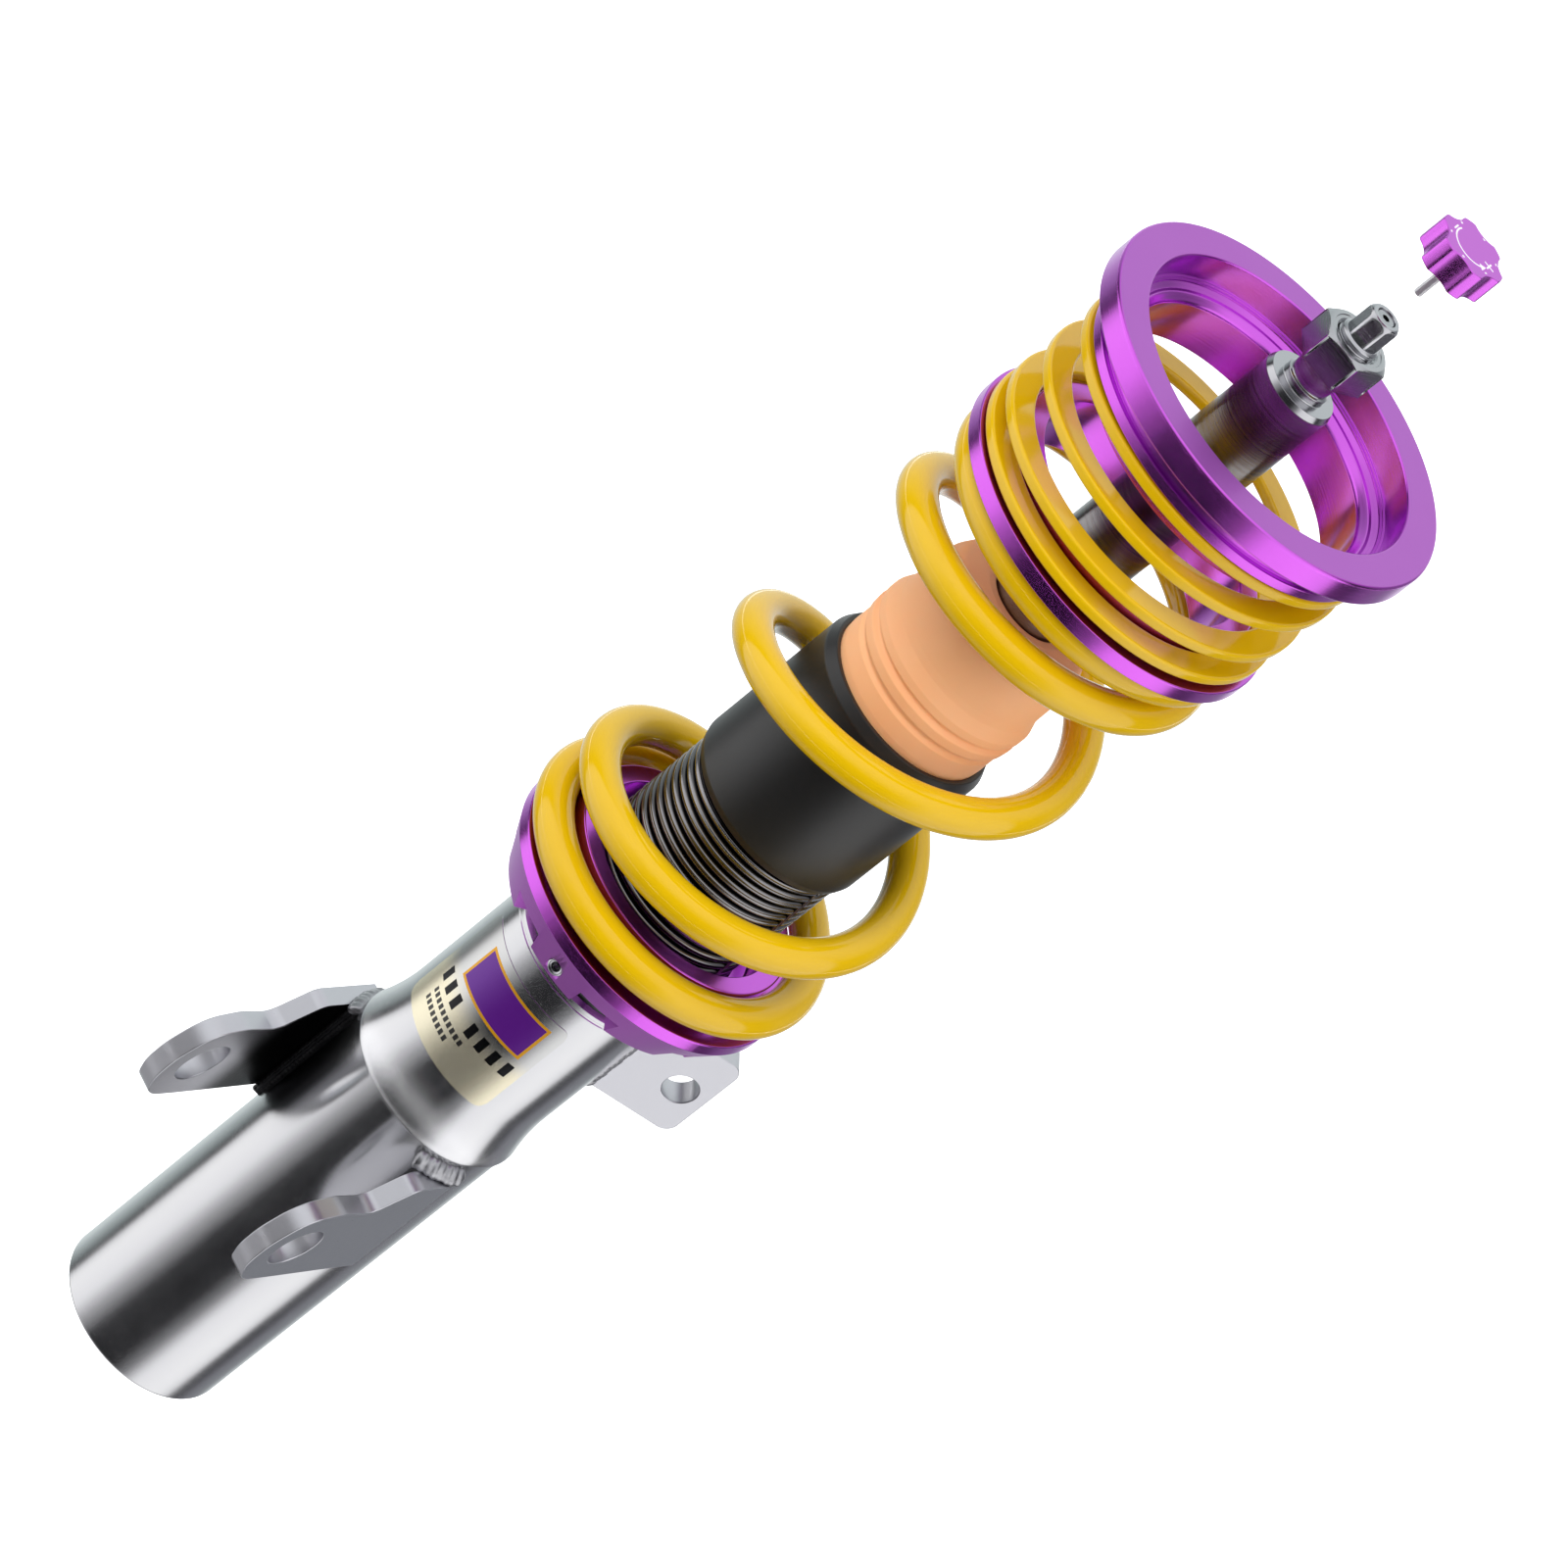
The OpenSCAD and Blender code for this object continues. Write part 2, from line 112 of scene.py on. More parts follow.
def turned_metal(name, colour, roughness, spacing_mm, relief, stretch=0.5, patch=0.05):
    """A metal finished in the lathe or on a belt while it spins: fine rings, and slow patches of
    more and less shine where it was handled and wiped."""
    made, tree, shader = finish_named(name, Metallic=1.0, Base_Color=linear(colour), Anisotropic=stretch,
                                      Anisotropic_Rotation=0.25)
    rings, place = turning_lines(tree, spacing_mm)
    cloud = add(tree, "ShaderNodeTexNoise", {"Vector": place, "Scale": 45.0, "Detail": 4.0})
    uneven = calc(tree, "ADD", rings, cloud.outputs["Fac"])
    rough = mapped(tree, uneven, (roughness - patch, roughness + patch), (0.6, 1.4))
    tree.links.new(rough, shader.inputs["Roughness"])
    bumped(tree, shader, rings, relief, 0.0002)
    return made


# Stainless tube, polished with a fine belt: near-mirror, with highlights drawn out along the tube.
# The belt lines are about 0.05 mm apart on the real tube and 0.6 mm here, so that they show.
stainless = turned_metal("stainless_belt_polished", "#D0D0D2", 0.21, 0.6, 0.05, 0.6, 0.035)


def eased(outline, steps=5):
    """The outline with each (radius, height, easing) corner rounded to its easing."""
    made = []
    for i, (r, z, easing) in enumerate(outline):
        here = Vector((r, z))
        before = Vector(outline[i - 1][:2]) - here
        after = Vector(outline[(i + 1) % len(outline)][:2]) - here
        if not easing:
            made.append(here)
            continue
        half = before.angle(after) / 2
        run = min(easing / math.tan(half), before.length * 0.49, after.length * 0.49)
        radius = run * math.tan(half)
        middle = here + (before.normalized() + after.normalized()).normalized() * (radius / math.sin(half))
        first = here + before.normalized() * run - middle
        last = here + after.normalized() * run - middle
        sweep = first.angle_signed(last)
        for k in range(steps + 1):
            a = -sweep * k / steps
            made.append(middle + Vector((first.x * math.cos(a) - first.y * math.sin(a),
                                         first.x * math.sin(a) + first.y * math.cos(a))))
    return made


def even_flats(piece):
    """Shades flat faces flat beside rounded edges."""
    weighted = piece.modifiers.new("even_flats", "WEIGHTED_NORMAL")
    weighted.keep_sharp = True


def mesh_piece(name, points, faces, material, crease=32):
    """A smooth-shaded object of these points, in mm, creased where faces meet at over crease degrees."""
    mesh = bpy.data.meshes.new(name)
    mesh.from_pydata([(x / 1000, y / 1000, z / 1000) for x, y, z in points], [], faces)
    mesh.validate()
    mesh.polygons.foreach_set("use_smooth", [True] * len(mesh.polygons))
    mesh.set_sharp_from_angle(angle=math.radians(crease))
    piece = bpy.data.objects.new(name, mesh)
    bpy.context.scene.collection.objects.link(piece)
    mesh.materials.append(material)
    even_flats(piece)
    return piece


def loops_joined(loops, n, closed=False):
    """Faces between neighbouring loops of n points; closed joins the last loop to the first too."""
    return [(i * n + k, (i + 1) % loops * n + k, (i + 1) % loops * n + (k + 1) % n, i * n + (k + 1) % n)
            for i in range(loops if closed else loops - 1) for k in range(n)]


VIEW_TURN = -70.25  # the side of the strut that flats, lobes, coils and lights are set from, in degrees
VIEW_SIDE = math.radians(VIEW_TURN)


def turned(name, outline, material, around=192, flats=None, centre=(0, 0)):
    """A ring or tube turned from a closed outline of (radius, height, easing) in mm. flats is the
    width across the flats of a hexagon that caps the radius."""
    rim = eased(outline)
    points = []
    for i in range(around):
        turn = 2 * math.pi * i / around
        cap = math.inf
        if flats:
            off = (turn + math.pi / 6) % (math.pi / 3) - math.pi / 6
            cap = flats / 2 / math.cos(off)
        for p in rim:
            r = min(p.x, cap)
            points.append((centre[0] + r * math.cos(turn + VIEW_SIDE),
                           centre[1] + r * math.sin(turn + VIEW_SIDE), p.y))
    return mesh_piece(name, points, loops_joined(around, len(rim), closed=True), material)


def heights(node):
    """Lowest and highest point of a CAD node, in mm."""
    low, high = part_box(node)
    return low.z * 1000, high.z * 1000


def dressed(material, *nodes):
    """Gives the CAD's own meshes of these nodes the material."""
    for node in nodes:
        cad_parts[node].data.materials.clear()
        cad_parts[node].data.materials.append(material)


CLAMP_R, CLAMP_BORE, CLAMP_TOP = 27.5, 24.6, 126.5
LAP_R = 25.6  # the clamp tube's upper end, turned down to fit inside the housing
tube_low, lap_top = heights("clamp_tube")
clamp_tube = turned("clamp_tube_skin", [
    (CLAMP_BORE, tube_low, 0.7), (CLAMP_R, tube_low, 1.3), (CLAMP_R, CLAMP_TOP, 0.3),
    (LAP_R, CLAMP_TOP, 0), (LAP_R, lap_top, 0), (CLAMP_BORE, lap_top, 0)], stainless)
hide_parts("clamp_tube")
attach(clamp_tube, "strut")

# Zinc-phosphated steel of the plug and the parts inside the damper: dark, dull and even.
phosphated = turned_metal("phosphated_steel", "#5A5A5E", 0.42, 0.5, 0.1, 0.2)
dressed(phosphated, "base_plug", "pressure_tube", "base_valve", "rod_guide", "closing_nut",
        "rebound_stop", "piston")


# ---- Strut housing ----------------------------------------------------------------------------
# The upper tube: same stainless steel, flared over the clamp tube's top and carrying the rolled
# thread that the spring perch climbs. The thread is black-oxidised, with its crests rubbed bright.

HOUSING_R, HOUSING_BORE = 25.9, 22.8
FLARE_R, FLARE_TOP, FLARE_RIM = 28.2, 145.0, CLAMP_TOP + 0.9
GROOVE_R = HOUSING_R - 0.3
THREAD_BED_R = 24.5  # the housing under the thread, just below the thread's root
THREAD_LOW, THREAD_HIGH = 193.0, 265.0
THREAD_PITCH = 3.0
LAND_R = 25.2
housing_top = heights("strut_housing")[1]
FLARE_STEPS = 14
flare = [(HOUSING_R + (FLARE_R - HOUSING_R) * (1 - k / FLARE_STEPS) ** 2,
          FLARE_RIM + (FLARE_TOP - FLARE_RIM) * k / FLARE_STEPS, 0)
         for k in range(1, FLARE_STEPS + 1)]
housing = turned("housing_skin", [
    (LAP_R, CLAMP_TOP, 0), (FLARE_R, CLAMP_TOP, 0.35), (FLARE_R, FLARE_RIM, 0)] + flare + [
    (HOUSING_R, 189.6, 0.2), (GROOVE_R, 189.9, 0), (GROOVE_R, 190.5, 0),
    (HOUSING_R, 190.8, 0.2), (HOUSING_R, THREAD_LOW - 1.2, 0.2), (THREAD_BED_R, THREAD_LOW, 0),
    (THREAD_BED_R, THREAD_HIGH, 0), (LAND_R, THREAD_HIGH + 0.4, 0.2), (LAND_R, housing_top, 0.5),
    (HOUSING_BORE, housing_top, 0), (HOUSING_BORE, lap_top, 0), (LAP_R, lap_top, 0)], stainless)
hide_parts("strut_housing")
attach(housing, "strut")


def threaded(name, outer, root, pitch, low, high, shape, material, around=96):
    """A right-handed thread from low to high in mm. shape lists (share of pitch, share of depth)."""
    per_turn = len(shape)
    turns = math.ceil((high - low) / pitch) + 1
    rows = turns * per_turn
    points = []
    for i in range(around):
        turn = i / around
        for k in range(-per_turn, rows):
            share, depth = shape[k % per_turn]
            z = low + pitch * (k // per_turn + share + turn)
            fade = max(0.0, min(1.0, (z - low) / pitch, (high - z) / pitch))
            points.append((
                (root + (outer - root) * depth * fade) * math.cos(2 * math.pi * turn),
                (root + (outer - root) * depth * fade) * math.sin(2 * math.pi * turn),
                min(max(z, low), high)))
    column = rows + per_turn
    faces = []
    # Known fault: at the seam the step is on the last column's rows (a) and belongs on the first
    # column's (b), so the faces there join rows two pitches apart.
    for i in range(around):
        step = per_turn if i == around - 1 else 0
        for k in range(column - 1 - step):
            a, b = i * column + k + step, (i + 1) % around * column + k
            faces.append((a, b, b + 1, a + 1))
    return mesh_piece(name, points, faces, material, crease=50)


# Black-oxidised rolled thread: oily dark flanks, crests polished back to steel by the perch.
oxidised, oxide_tree, oxide_shader = finish_named(
    "black_oxidised_thread", Metallic=1.0, Roughness=0.2, Anisotropic=0.3)
oxide_place = add(oxide_tree, "ShaderNodeTexCoord")
oxide_xyz = add(oxide_tree, "ShaderNodeSeparateXYZ", {0: oxide_place.outputs["Object"]})
oxide_squares = [calc(oxide_tree, "POWER", oxide_xyz.outputs[axis], 2.0) for axis in ("X", "Y")]
oxide_r = calc(oxide_tree, "POWER", calc(oxide_tree, "ADD", *oxide_squares), 0.5)
oxide_worn = mapped(oxide_tree, oxide_r, source=(0.0250, 0.0258))


def toned(tree, shader, share, under, over):
    """Colours the shader from under to over, in hex, by share."""
    mix = add(tree, "ShaderNodeMix", {0: share, 6: linear(under), 7: linear(over)}, data_type="RGBA")
    tree.links.new(mix.outputs[2], shader.inputs["Base Color"])


toned(oxide_tree, oxide_shader, oxide_worn, "#2A292B", "#8F8D8F")

ROLLED = [(0.0, 0.0), (0.1, 0.05), (0.22, 0.45), (0.33, 0.85), (0.45, 1.0), (0.67, 1.0), (0.79, 0.85),
          (0.9, 0.45)]
perch_thread = threaded(
    "perch_thread", 26.0, 24.6, THREAD_PITCH, THREAD_LOW, THREAD_HIGH, ROLLED, oxidised)
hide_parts("strut_housing")
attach(perch_thread, "strut")


# ---- Ears, hose tab and their welds -----------------------------------------------------------
# Two 6 mm ears laser-cut from steel plate, with 16.2 mm bolt holes on one line, and an 8 mm tab for
# the brake hose. All are MIG-welded to the tubes, and the cut edges are tumbled bright.

def corners(outline, steps=10):
    """The eased outline of a plate as plain points."""
    return [(p.x, p.y) for p in eased(outline, steps)]


def plate(name, outline, hole, hole_r, thickness, edge, material, place):
    """A flat plate with softened edges between its outline and one round hole, moved by place."""
    drawing = bpy.data.curves.new(name, "CURVE")
    drawing.dimensions = "2D"
    drawing.fill_mode = "BOTH"
    drawing.extrude = (thickness / 2 - edge) / 1000
    drawing.bevel_depth = edge / 1000
    drawing.bevel_resolution = 3
    drawing.offset = -edge / 1000
    ring = [(hole[0] + hole_r * math.cos(2 * math.pi * k / 72),
             hole[1] + hole_r * math.sin(2 * math.pi * k / 72)) for k in range(72)] if hole_r else []
    for loop in [corners(outline), ring]:
        if not loop:
            continue
        line = drawing.splines.new("POLY")
        line.points.add(len(loop) - 1)
        line.use_cyclic_u = True
        for point, (u, v) in zip(line.points, loop):
            point.co = (u / 1000, v / 1000, 0, 1)
    drawn = bpy.data.objects.new(name, drawing)
    bpy.context.scene.collection.objects.link(drawn)
    mesh = bpy.data.meshes.new_from_object(drawn.evaluated_get(bpy.context.evaluated_depsgraph_get()))
    bpy.data.objects.remove(drawn)
    mesh.transform(place)
    mesh.polygons.foreach_set("use_smooth", [True] * len(mesh.polygons))
    mesh.set_sharp_from_angle(angle=math.radians(40))
    mesh.materials.clear()
    mesh.materials.append(material)
    piece = bpy.data.objects.new(name, mesh)
    bpy.context.scene.collection.objects.link(piece)
    even_flats(piece)
    return piece


def mottle(tree, scale, detail=2.0):
    """Even noise in the strut's frame, with this many cells a metre."""
    place = add(tree, "ShaderNodeTexCoord")
    return add(tree, "ShaderNodeTexNoise", {
        "Vector": place.outputs["Object"], "Scale": scale, "Detail": detail}).outputs["Fac"]


def roughened(tree, shader, share, low, high):
    """Varies the shader's roughness from low to high by share."""
    tree.links.new(mapped(tree, share, (low, high)), shader.inputs["Roughness"])


# Hot-rolled plate, pickled and tumbled: an even satin grey with a faint mill grain.
plate_steel, plate_tree, plate_shader = finish_named("tumbled_plate_steel", Metallic=1.0)
plate_grain = mottle(plate_tree, 900.0, 4.0)
roughened(plate_tree, plate_shader, plate_grain, 0.24, 0.38)
# Painted shade and reflection: the inner face of the left ear is painted near black beside its long weld,
# where it lies in shade and mirrors the dark tube.
plate_place = add(plate_tree, "ShaderNodeTexCoord")
plate_xyz = add(plate_tree, "ShaderNodeSeparateXYZ", {0: plate_place.outputs["Object"]})
painted_shade_near = mapped(plate_tree, plate_xyz.outputs["Y"], source=(-0.041, -0.028),
                    interpolation_type="SMOOTHSTEP")
painted_shade_side = calc(plate_tree, "COMPARE", plate_xyz.outputs["X"], -0.0275, 0.0003)
painted_shade = calc(plate_tree, "MULTIPLY", painted_shade_near, painted_shade_side)
# Painted shade: the plate grey turns to near black where this mask is 1.
toned(plate_tree, plate_shader, painted_shade, "#C6C6CB", "#242426")
bumped(plate_tree, plate_shader, plate_grain, 0.12, 0.0001)

EAR_T = 6.0
EAR_REACH, EAR_Z, EAR_HOLE_R = 49.2, 95.3, 8.1
LEFT_X, RIGHT_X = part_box("bracket_left")[0].x * 1000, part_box("bracket_right")[0].x * 1000


def ear_outline(back):
    """Ear outline round its hole: (outwards, upwards, easing) in mm; back is where it meets the tube."""
    return [(back, 24.8, 0), (-26, 25.5, 6), (-16, 15.2, 6), (-3.5, 16.6, 14), (9, 14.5, 14), (14.3, 3.5, 14),
            (14.3, -5, 14), (9, -15.5, 14), (-3.5, -15.9, 14), (back, -16.2, 0)]


for ear, x, back in (("bracket_left", LEFT_X, -51.2), ("bracket_right", RIGHT_X, -39.7)):
    stood = (Matrix.Translation(Vector((x + EAR_T / 2, -EAR_REACH, EAR_Z)) / 1000)
             @ Matrix(((0, 0, 1, 0), (-1, 0, 0, 0), (0, 1, 0, 0), (0, 0, 0, 1))))
    cut = plate(ear + "_skin", ear_outline(back), (0, 0), EAR_HOLE_R, EAR_T, 0.35, plate_steel, stood)
    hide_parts(ear)
    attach(cut, "strut")

TAB_TURN = math.radians(51.2)
TAB_T, TAB_REACH, TAB_HOLE_R = 8.0, 56.2, 5.1
tab_low, tab_high = heights("hose_tab")
hose_tab = plate("hose_tab_skin", [(24, tab_low, 0), (TAB_REACH, tab_low, 4), (TAB_REACH, tab_high, 4),
                                   (24, tab_high, 0)], (47.5, 170), TAB_HOLE_R, TAB_T, 0.35, plate_steel,
                 Matrix.Rotation(TAB_TURN, 4, "Z")
                 @ Matrix(((1, 0, 0, 0), (0, 0, -1, 0), (0, 1, 0, 0), (0, 0, 0, 1))))
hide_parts("hose_tab")
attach(hose_tab, "strut")


def weld(name, path, out, width, height, material, spacing=2.1, around=14):
    """A run of weld along path, in mm. out gives the outward direction at a point. The ripples are the
    crescents that each pulse of the torch leaves, one per spacing."""
    points = []
    lengths = [0.0]
    for a, b in zip(path, path[1:]):
        lengths.append(lengths[-1] + (b - a).length)
    total = lengths[-1]
    for i, (p, run) in enumerate(zip(path, lengths)):
        ahead = (path[min(i + 1, len(path) - 1)] - path[max(i - 1, 0)]).normalized()
        rise = out(p).normalized()
        side = rise.cross(ahead).normalized()
        end = math.sqrt(max(0.0, 1 - (1 - min(1.0, run / 1.6, (total - run) / 1.6)) ** 2)) * 0.8 + 0.2
        for k in range(around):
            a = 2 * math.pi * k / around
            phase = (run + 1.2 * math.cos(a)) / spacing
            ripple = 1 + 0.16 * (abs(math.sin(math.pi * phase)) ** 0.6 - 0.6) + 0.05 * math.sin(phase * 2.3)
            points.append(p + (side * math.sin(a) * width + rise * math.cos(a) * height) * ripple * end)
    faces = loops_joined(len(path), around)
    faces += [tuple(range(around)), tuple(reversed(range((len(path) - 1) * around, len(path) * around)))]
    piece = mesh_piece(name, [tuple(p) for p in points], faces, material, crease=70)
    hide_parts("bracket_welds" if "ear" in name else "tab_weld")
    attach(piece, "strut")
    return piece


# MIG weld, wire-brushed: bright rippled metal with small dull scale in the hollows.
weld_metal, weld_tree, weld_shader = finish_named("brushed_weld", Metallic=1.0)
weld_noise = mottle(weld_tree, 420.0, 5.0)
toned(weld_tree, weld_shader, weld_noise, "#77777C", "#C9C9CC")
roughened(weld_tree, weld_shader, weld_noise, 0.5, 0.25)
bumped(weld_tree, weld_shader, weld_noise, 0.3, 0.0003)


def straight(a, b, step=0.35):
    """Points from a to b in mm, one per step."""
    a, b = Vector(a), Vector(b)
    count = max(2, int((b - a).length / step))
    return [a.lerp(b, k / count) for k in range(count + 1)]


def round_tube(r, z, first, last, step=0.35):
    """Points round the tube at radius r and height z, from first to last degrees."""
    count = int(abs(last - first) * math.pi / 180 * r / step)
    turns = [math.radians(first + (last - first) * k / count) for k in range(count + 1)]
    return [Vector((r * math.cos(turn), r * math.sin(turn), z)) for turn in turns]


def from_axis(p):
    """Straight out from the strut's axis."""
    return Vector((p.x, p.y, 0))


def up_and_out(p):
    """Out from the axis and up in equal parts."""
    return from_axis(p).normalized() + Vector((0, 0, 1))


# Weld left as it came off the torch, deep in the corner: black scale over the metal.
scale_weld, scale_tree, scale_shader = finish_named("scaled_weld", Metallic=0.6)
scale_noise = mottle(scale_tree, 350.0, 5.0)
toned(scale_tree, scale_shader, scale_noise, "#161617", "#4A4A4C")
roughened(scale_tree, scale_shader, scale_noise, 0.6, 0.35)

CORNER = [(-27.4, -6), (-27.4, -12.3), (-26.6, -12.8), (-24.8, -11.9), (-24.6, -6)]
CORNER_LOOPS, CORNER_STEP, CORNER_LOW = 120, 0.355, 78.2
corner_rings = [(x, y + 0.12 * math.sin(z * 4.2), z)
                for z in [CORNER_LOW + CORNER_STEP * k for k in range(CORNER_LOOPS)] for x, y in CORNER]
corner_faces = [(i * 5 + k, i * 5 + (k + 1) % 5, (i + 1) * 5 + (k + 1) % 5, (i + 1) * 5 + k)
                for i in range(CORNER_LOOPS - 1) for k in range(5)]
corner_faces += [(4, 3, 2, 1, 0), tuple(range(5 * CORNER_LOOPS - 5, 5 * CORNER_LOOPS))]
corner_weld = mesh_piece("ear_weld_left_fill", corner_rings, corner_faces, scale_weld, crease=25)
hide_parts("bracket_welds")
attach(corner_weld, "strut")
weld("ear_weld_left_inner", straight((-26.0, -12.3, 79), (-26.0, -12.3, 120)),
     lambda p: Vector((-0.3, -0.95, 0)), 0.7, 0.5, scale_weld, 1.5)
weld("ear_weld_left_outer", straight((-28.4, 1.8, 80), (-28.4, 1.8, 120)),
     lambda p: Vector((-0.6, 0.8, 0)), 2.6, 2.0, weld_metal)
weld("ear_weld_right_inner", straight((22.2, -17.0, 80), (22.2, -17.0, 120)),
     lambda p: Vector((-0.5, -0.86, 0)), 1.8, 0.9, scale_weld)
weld("ear_weld_right_outer", straight((27.2, -9.2, 80), (27.2, -9.2, 120)),
     lambda p: Vector((0.9, 0.4, 0)), 1.6, 1.6, weld_metal)
weld("ear_weld_left_top", round_tube(28.9, 122.9, 180, 214), up_and_out, 2.4, 1.5, weld_metal)
weld("ear_weld_right_top", round_tube(28.9, 122.9, -46, -13), up_and_out, 3.0, 1.9, weld_metal)
for side in (-1, 1):
    foot = Matrix.Rotation(TAB_TURN, 3, "Z") @ Vector((26.4, side * (TAB_T / 2 + 0.9), 0))
    lean = Matrix.Rotation(TAB_TURN, 3, "Z") @ Vector((0.7, side * 0.7, 0))
    run = straight((foot.x, foot.y, tab_low + 0.6), (foot.x, foot.y, tab_high - 0.6))
    weld(f"tab_weld_side_{(side + 3) // 2}", run, lambda p: lean, 2.6, 1.9, weld_metal)


# ---- Sticker ----------------------------------------------------------------------------------
# A blank type label: a film with a cream data field, one plain purple field with an amber rule
# round it, and rows of plain bars where a maker would print its numbers.

LABEL_R = 26.05
label_low, label_high = heights("label")
LABEL_FIRST, LABEL_LAST = -65.0, 30.0
LABEL_WIDE = LABEL_R * math.radians(LABEL_LAST - LABEL_FIRST)
LABEL_CORNER = 3.0

label_points = []
ACROSS = 72
for i in range(ACROSS + 1):
    u = LABEL_WIDE * i / ACROSS
    near = min(u, LABEL_WIDE - u)
    trim = LABEL_CORNER - math.sqrt(max(0.0, LABEL_CORNER ** 2 - max(0.0, LABEL_CORNER - near) ** 2))
    turn = VIEW_SIDE + math.radians(LABEL_FIRST) + u / LABEL_R
    for r, z in ((LABEL_R - 0.2, label_low + trim), (LABEL_R, label_low + trim + 0.1),
                 (LABEL_R, label_high - trim - 0.1), (LABEL_R - 0.2, label_high - trim)):
        label_points.append((r * math.cos(turn), r * math.sin(turn), z))
label_faces = loops_joined(ACROSS + 1, 4)
label_faces += [(0, 1, 2, 3), (ACROSS * 4 + 3, ACROSS * 4 + 2, ACROSS * 4 + 1, ACROSS * 4)]

# Printed polyester film: satin print on a part metallised, part cream base.
printed, print_tree, print_shader = finish_named("printed_polyester_film", Roughness=0.26)
print_place = add(print_tree, "ShaderNodeTexCoord")
print_xyz = add(print_tree, "ShaderNodeSeparateXYZ", {0: print_place.outputs["Object"]})
label_middle = VIEW_SIDE + math.radians((LABEL_FIRST + LABEL_LAST) / 2)
turned_back = add(print_tree, "ShaderNodeVectorRotate", {"Vector": print_place.outputs["Object"],
                                                         "Angle": -label_middle}, rotation_type="Z_AXIS")
back_xyz = add(print_tree, "ShaderNodeSeparateXYZ", {0: turned_back.outputs[0]})
label_angle = calc(print_tree, "ARCTAN2", back_xyz.outputs["Y"], back_xyz.outputs["X"])
label_u = calc(print_tree, "MULTIPLY_ADD", label_angle, LABEL_R, LABEL_WIDE / 2)
label_v = calc(print_tree, "MULTIPLY_ADD", print_xyz.outputs["Z"], 1000.0, -label_low)


def field(tree, u, v, left, right, low, high):
    """1 inside the field of a print, 0 outside, with edges given in mm."""
    in_u = calc(tree, "COMPARE", u, (left + right) / 2, (right - left) / 2)
    in_v = calc(tree, "COMPARE", v, (low + high) / 2, (high - low) / 2)
    return calc(tree, "MULTIPLY", in_u, in_v)


def inked(tree, under, mask, colour):
    """The colour under, with ink of another colour over it where mask is 1."""
    return add(tree, "ShaderNodeMix", {0: mask, 6: under, 7: linear(colour)},
               data_type="RGBA").outputs[2]


cream_field = mapped(print_tree, label_v, source=(22.0, 13.0), interpolation_type="SMOOTHSTEP")
tone = inked(print_tree, linear("#CFCFCE"), cream_field, "#F0E8CC")
amber_rule = field(print_tree, label_u, label_v, 10.2, 38.8, 20.6, 34.4)
purple_field = field(print_tree, label_u, label_v, 11.1, 37.9, 21.5, 33.5)
row_u = calc(print_tree, "MODULO", label_u, 4.6)
tall_bars = field(print_tree, row_u, label_v, 0.9, 3.3, 13.2, 18.0)
for left, right in ((4.6, 18.4), (23.0, 41.4)):
    span = field(print_tree, label_u, label_v, left, right, 13, 18.2)
    tone = inked(print_tree, tone, calc(print_tree, "MULTIPLY", tall_bars, span), "#242426")
dash_u = calc(print_tree, "MODULO", label_u, 1.9)
for low, left, right in ((9.4, 8.0, 26.6), (6.0, 8.0, 22.8)):
    dashes = field(print_tree, dash_u, label_v, 0.25, 1.5, low, low + 1.9)
    span = field(print_tree, label_u, label_v, left, right, low - 1, low + 3)
    tone = inked(print_tree, tone, calc(print_tree, "MULTIPLY", dashes, span), "#4A4946")
tone = inked(print_tree, inked(print_tree, tone, amber_rule, "#E0A020"), purple_field, "#642090")
print_tree.links.new(tone, print_shader.inputs["Base Color"])
foil = mapped(print_tree, cream_field, (1.0, 0.75))
film_metal = calc(print_tree, "MULTIPLY_ADD", amber_rule, -0.75, foil)
print_tree.links.new(film_metal, print_shader.inputs["Metallic"])

label = mesh_piece("type_label", label_points, label_faces, printed)
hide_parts("label")
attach(label, "strut")


# ---- Dust sleeve ------------------------------------------------------------------------------
# A cap moulded in glass-filled nylon, pushed over the top of the housing. It keeps grit off the
# seal and carries the bump stop.

# Moulded nylon: satin black, with the fine spark-eroded texture of its mould.
nylon, nylon_tree, nylon_shader = finish_named(
    "moulded_black_nylon", IOR=1.53, Base_Color=linear("#1C1C1D"))
roughened(nylon_tree, nylon_shader, mottle(nylon_tree, 60.0, 3.0), 0.34, 0.46)
bumped(nylon_tree, nylon_shader, mottle(nylon_tree, 1600.0), 0.1, 0.0001)

SLEEVE_R, SLEEVE_SHELF, SLEEVE_ROD_R = 27.7, 311.5, 12.5
sleeve_low, sleeve_high = heights("dust_sleeve")
sleeve = turned("dust_sleeve_skin", [
    (26.2, sleeve_low, 0.3), (27.0, sleeve_low, 0.5), (SLEEVE_R, sleeve_low + 2.2, 2.0),
    (SLEEVE_R, 311.0, 2.0), (26.2, sleeve_high, 0.5), (24.9, sleeve_high, 0.3), (24.9, SLEEVE_SHELF, 0),
    (SLEEVE_ROD_R, SLEEVE_SHELF, 0.3), (SLEEVE_ROD_R, housing_top, 0.3), (25.3, housing_top, 0),
    (25.3, 266.4, 0), (26.2, 266, 0)], nylon)
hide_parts("dust_sleeve")
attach(sleeve, "strut")


# ---- Bump stop --------------------------------------------------------------------------------
# Cast from microcellular polyurethane foam, peach coloured, with two moulded grooves that let it
# fold progressively. It stands in the sleeve's rim and the rod runs through it.

# Microcellular foam skin: soft matt, faintly mottled, light sinks in a little at thin edges.
foam, foam_tree, foam_shader = finish_named(
    "moulded_pu_foam", Roughness=0.55, IOR=1.45, Subsurface_Weight=0.12, Subsurface_Scale=0.004)
toned(foam_tree, foam_shader, mottle(foam_tree, 50.0, 3.0), "#FAB47E", "#FFC290")
bumped(foam_tree, foam_shader, mottle(foam_tree, 700.0, 3.0), 0.08, 0.0001)

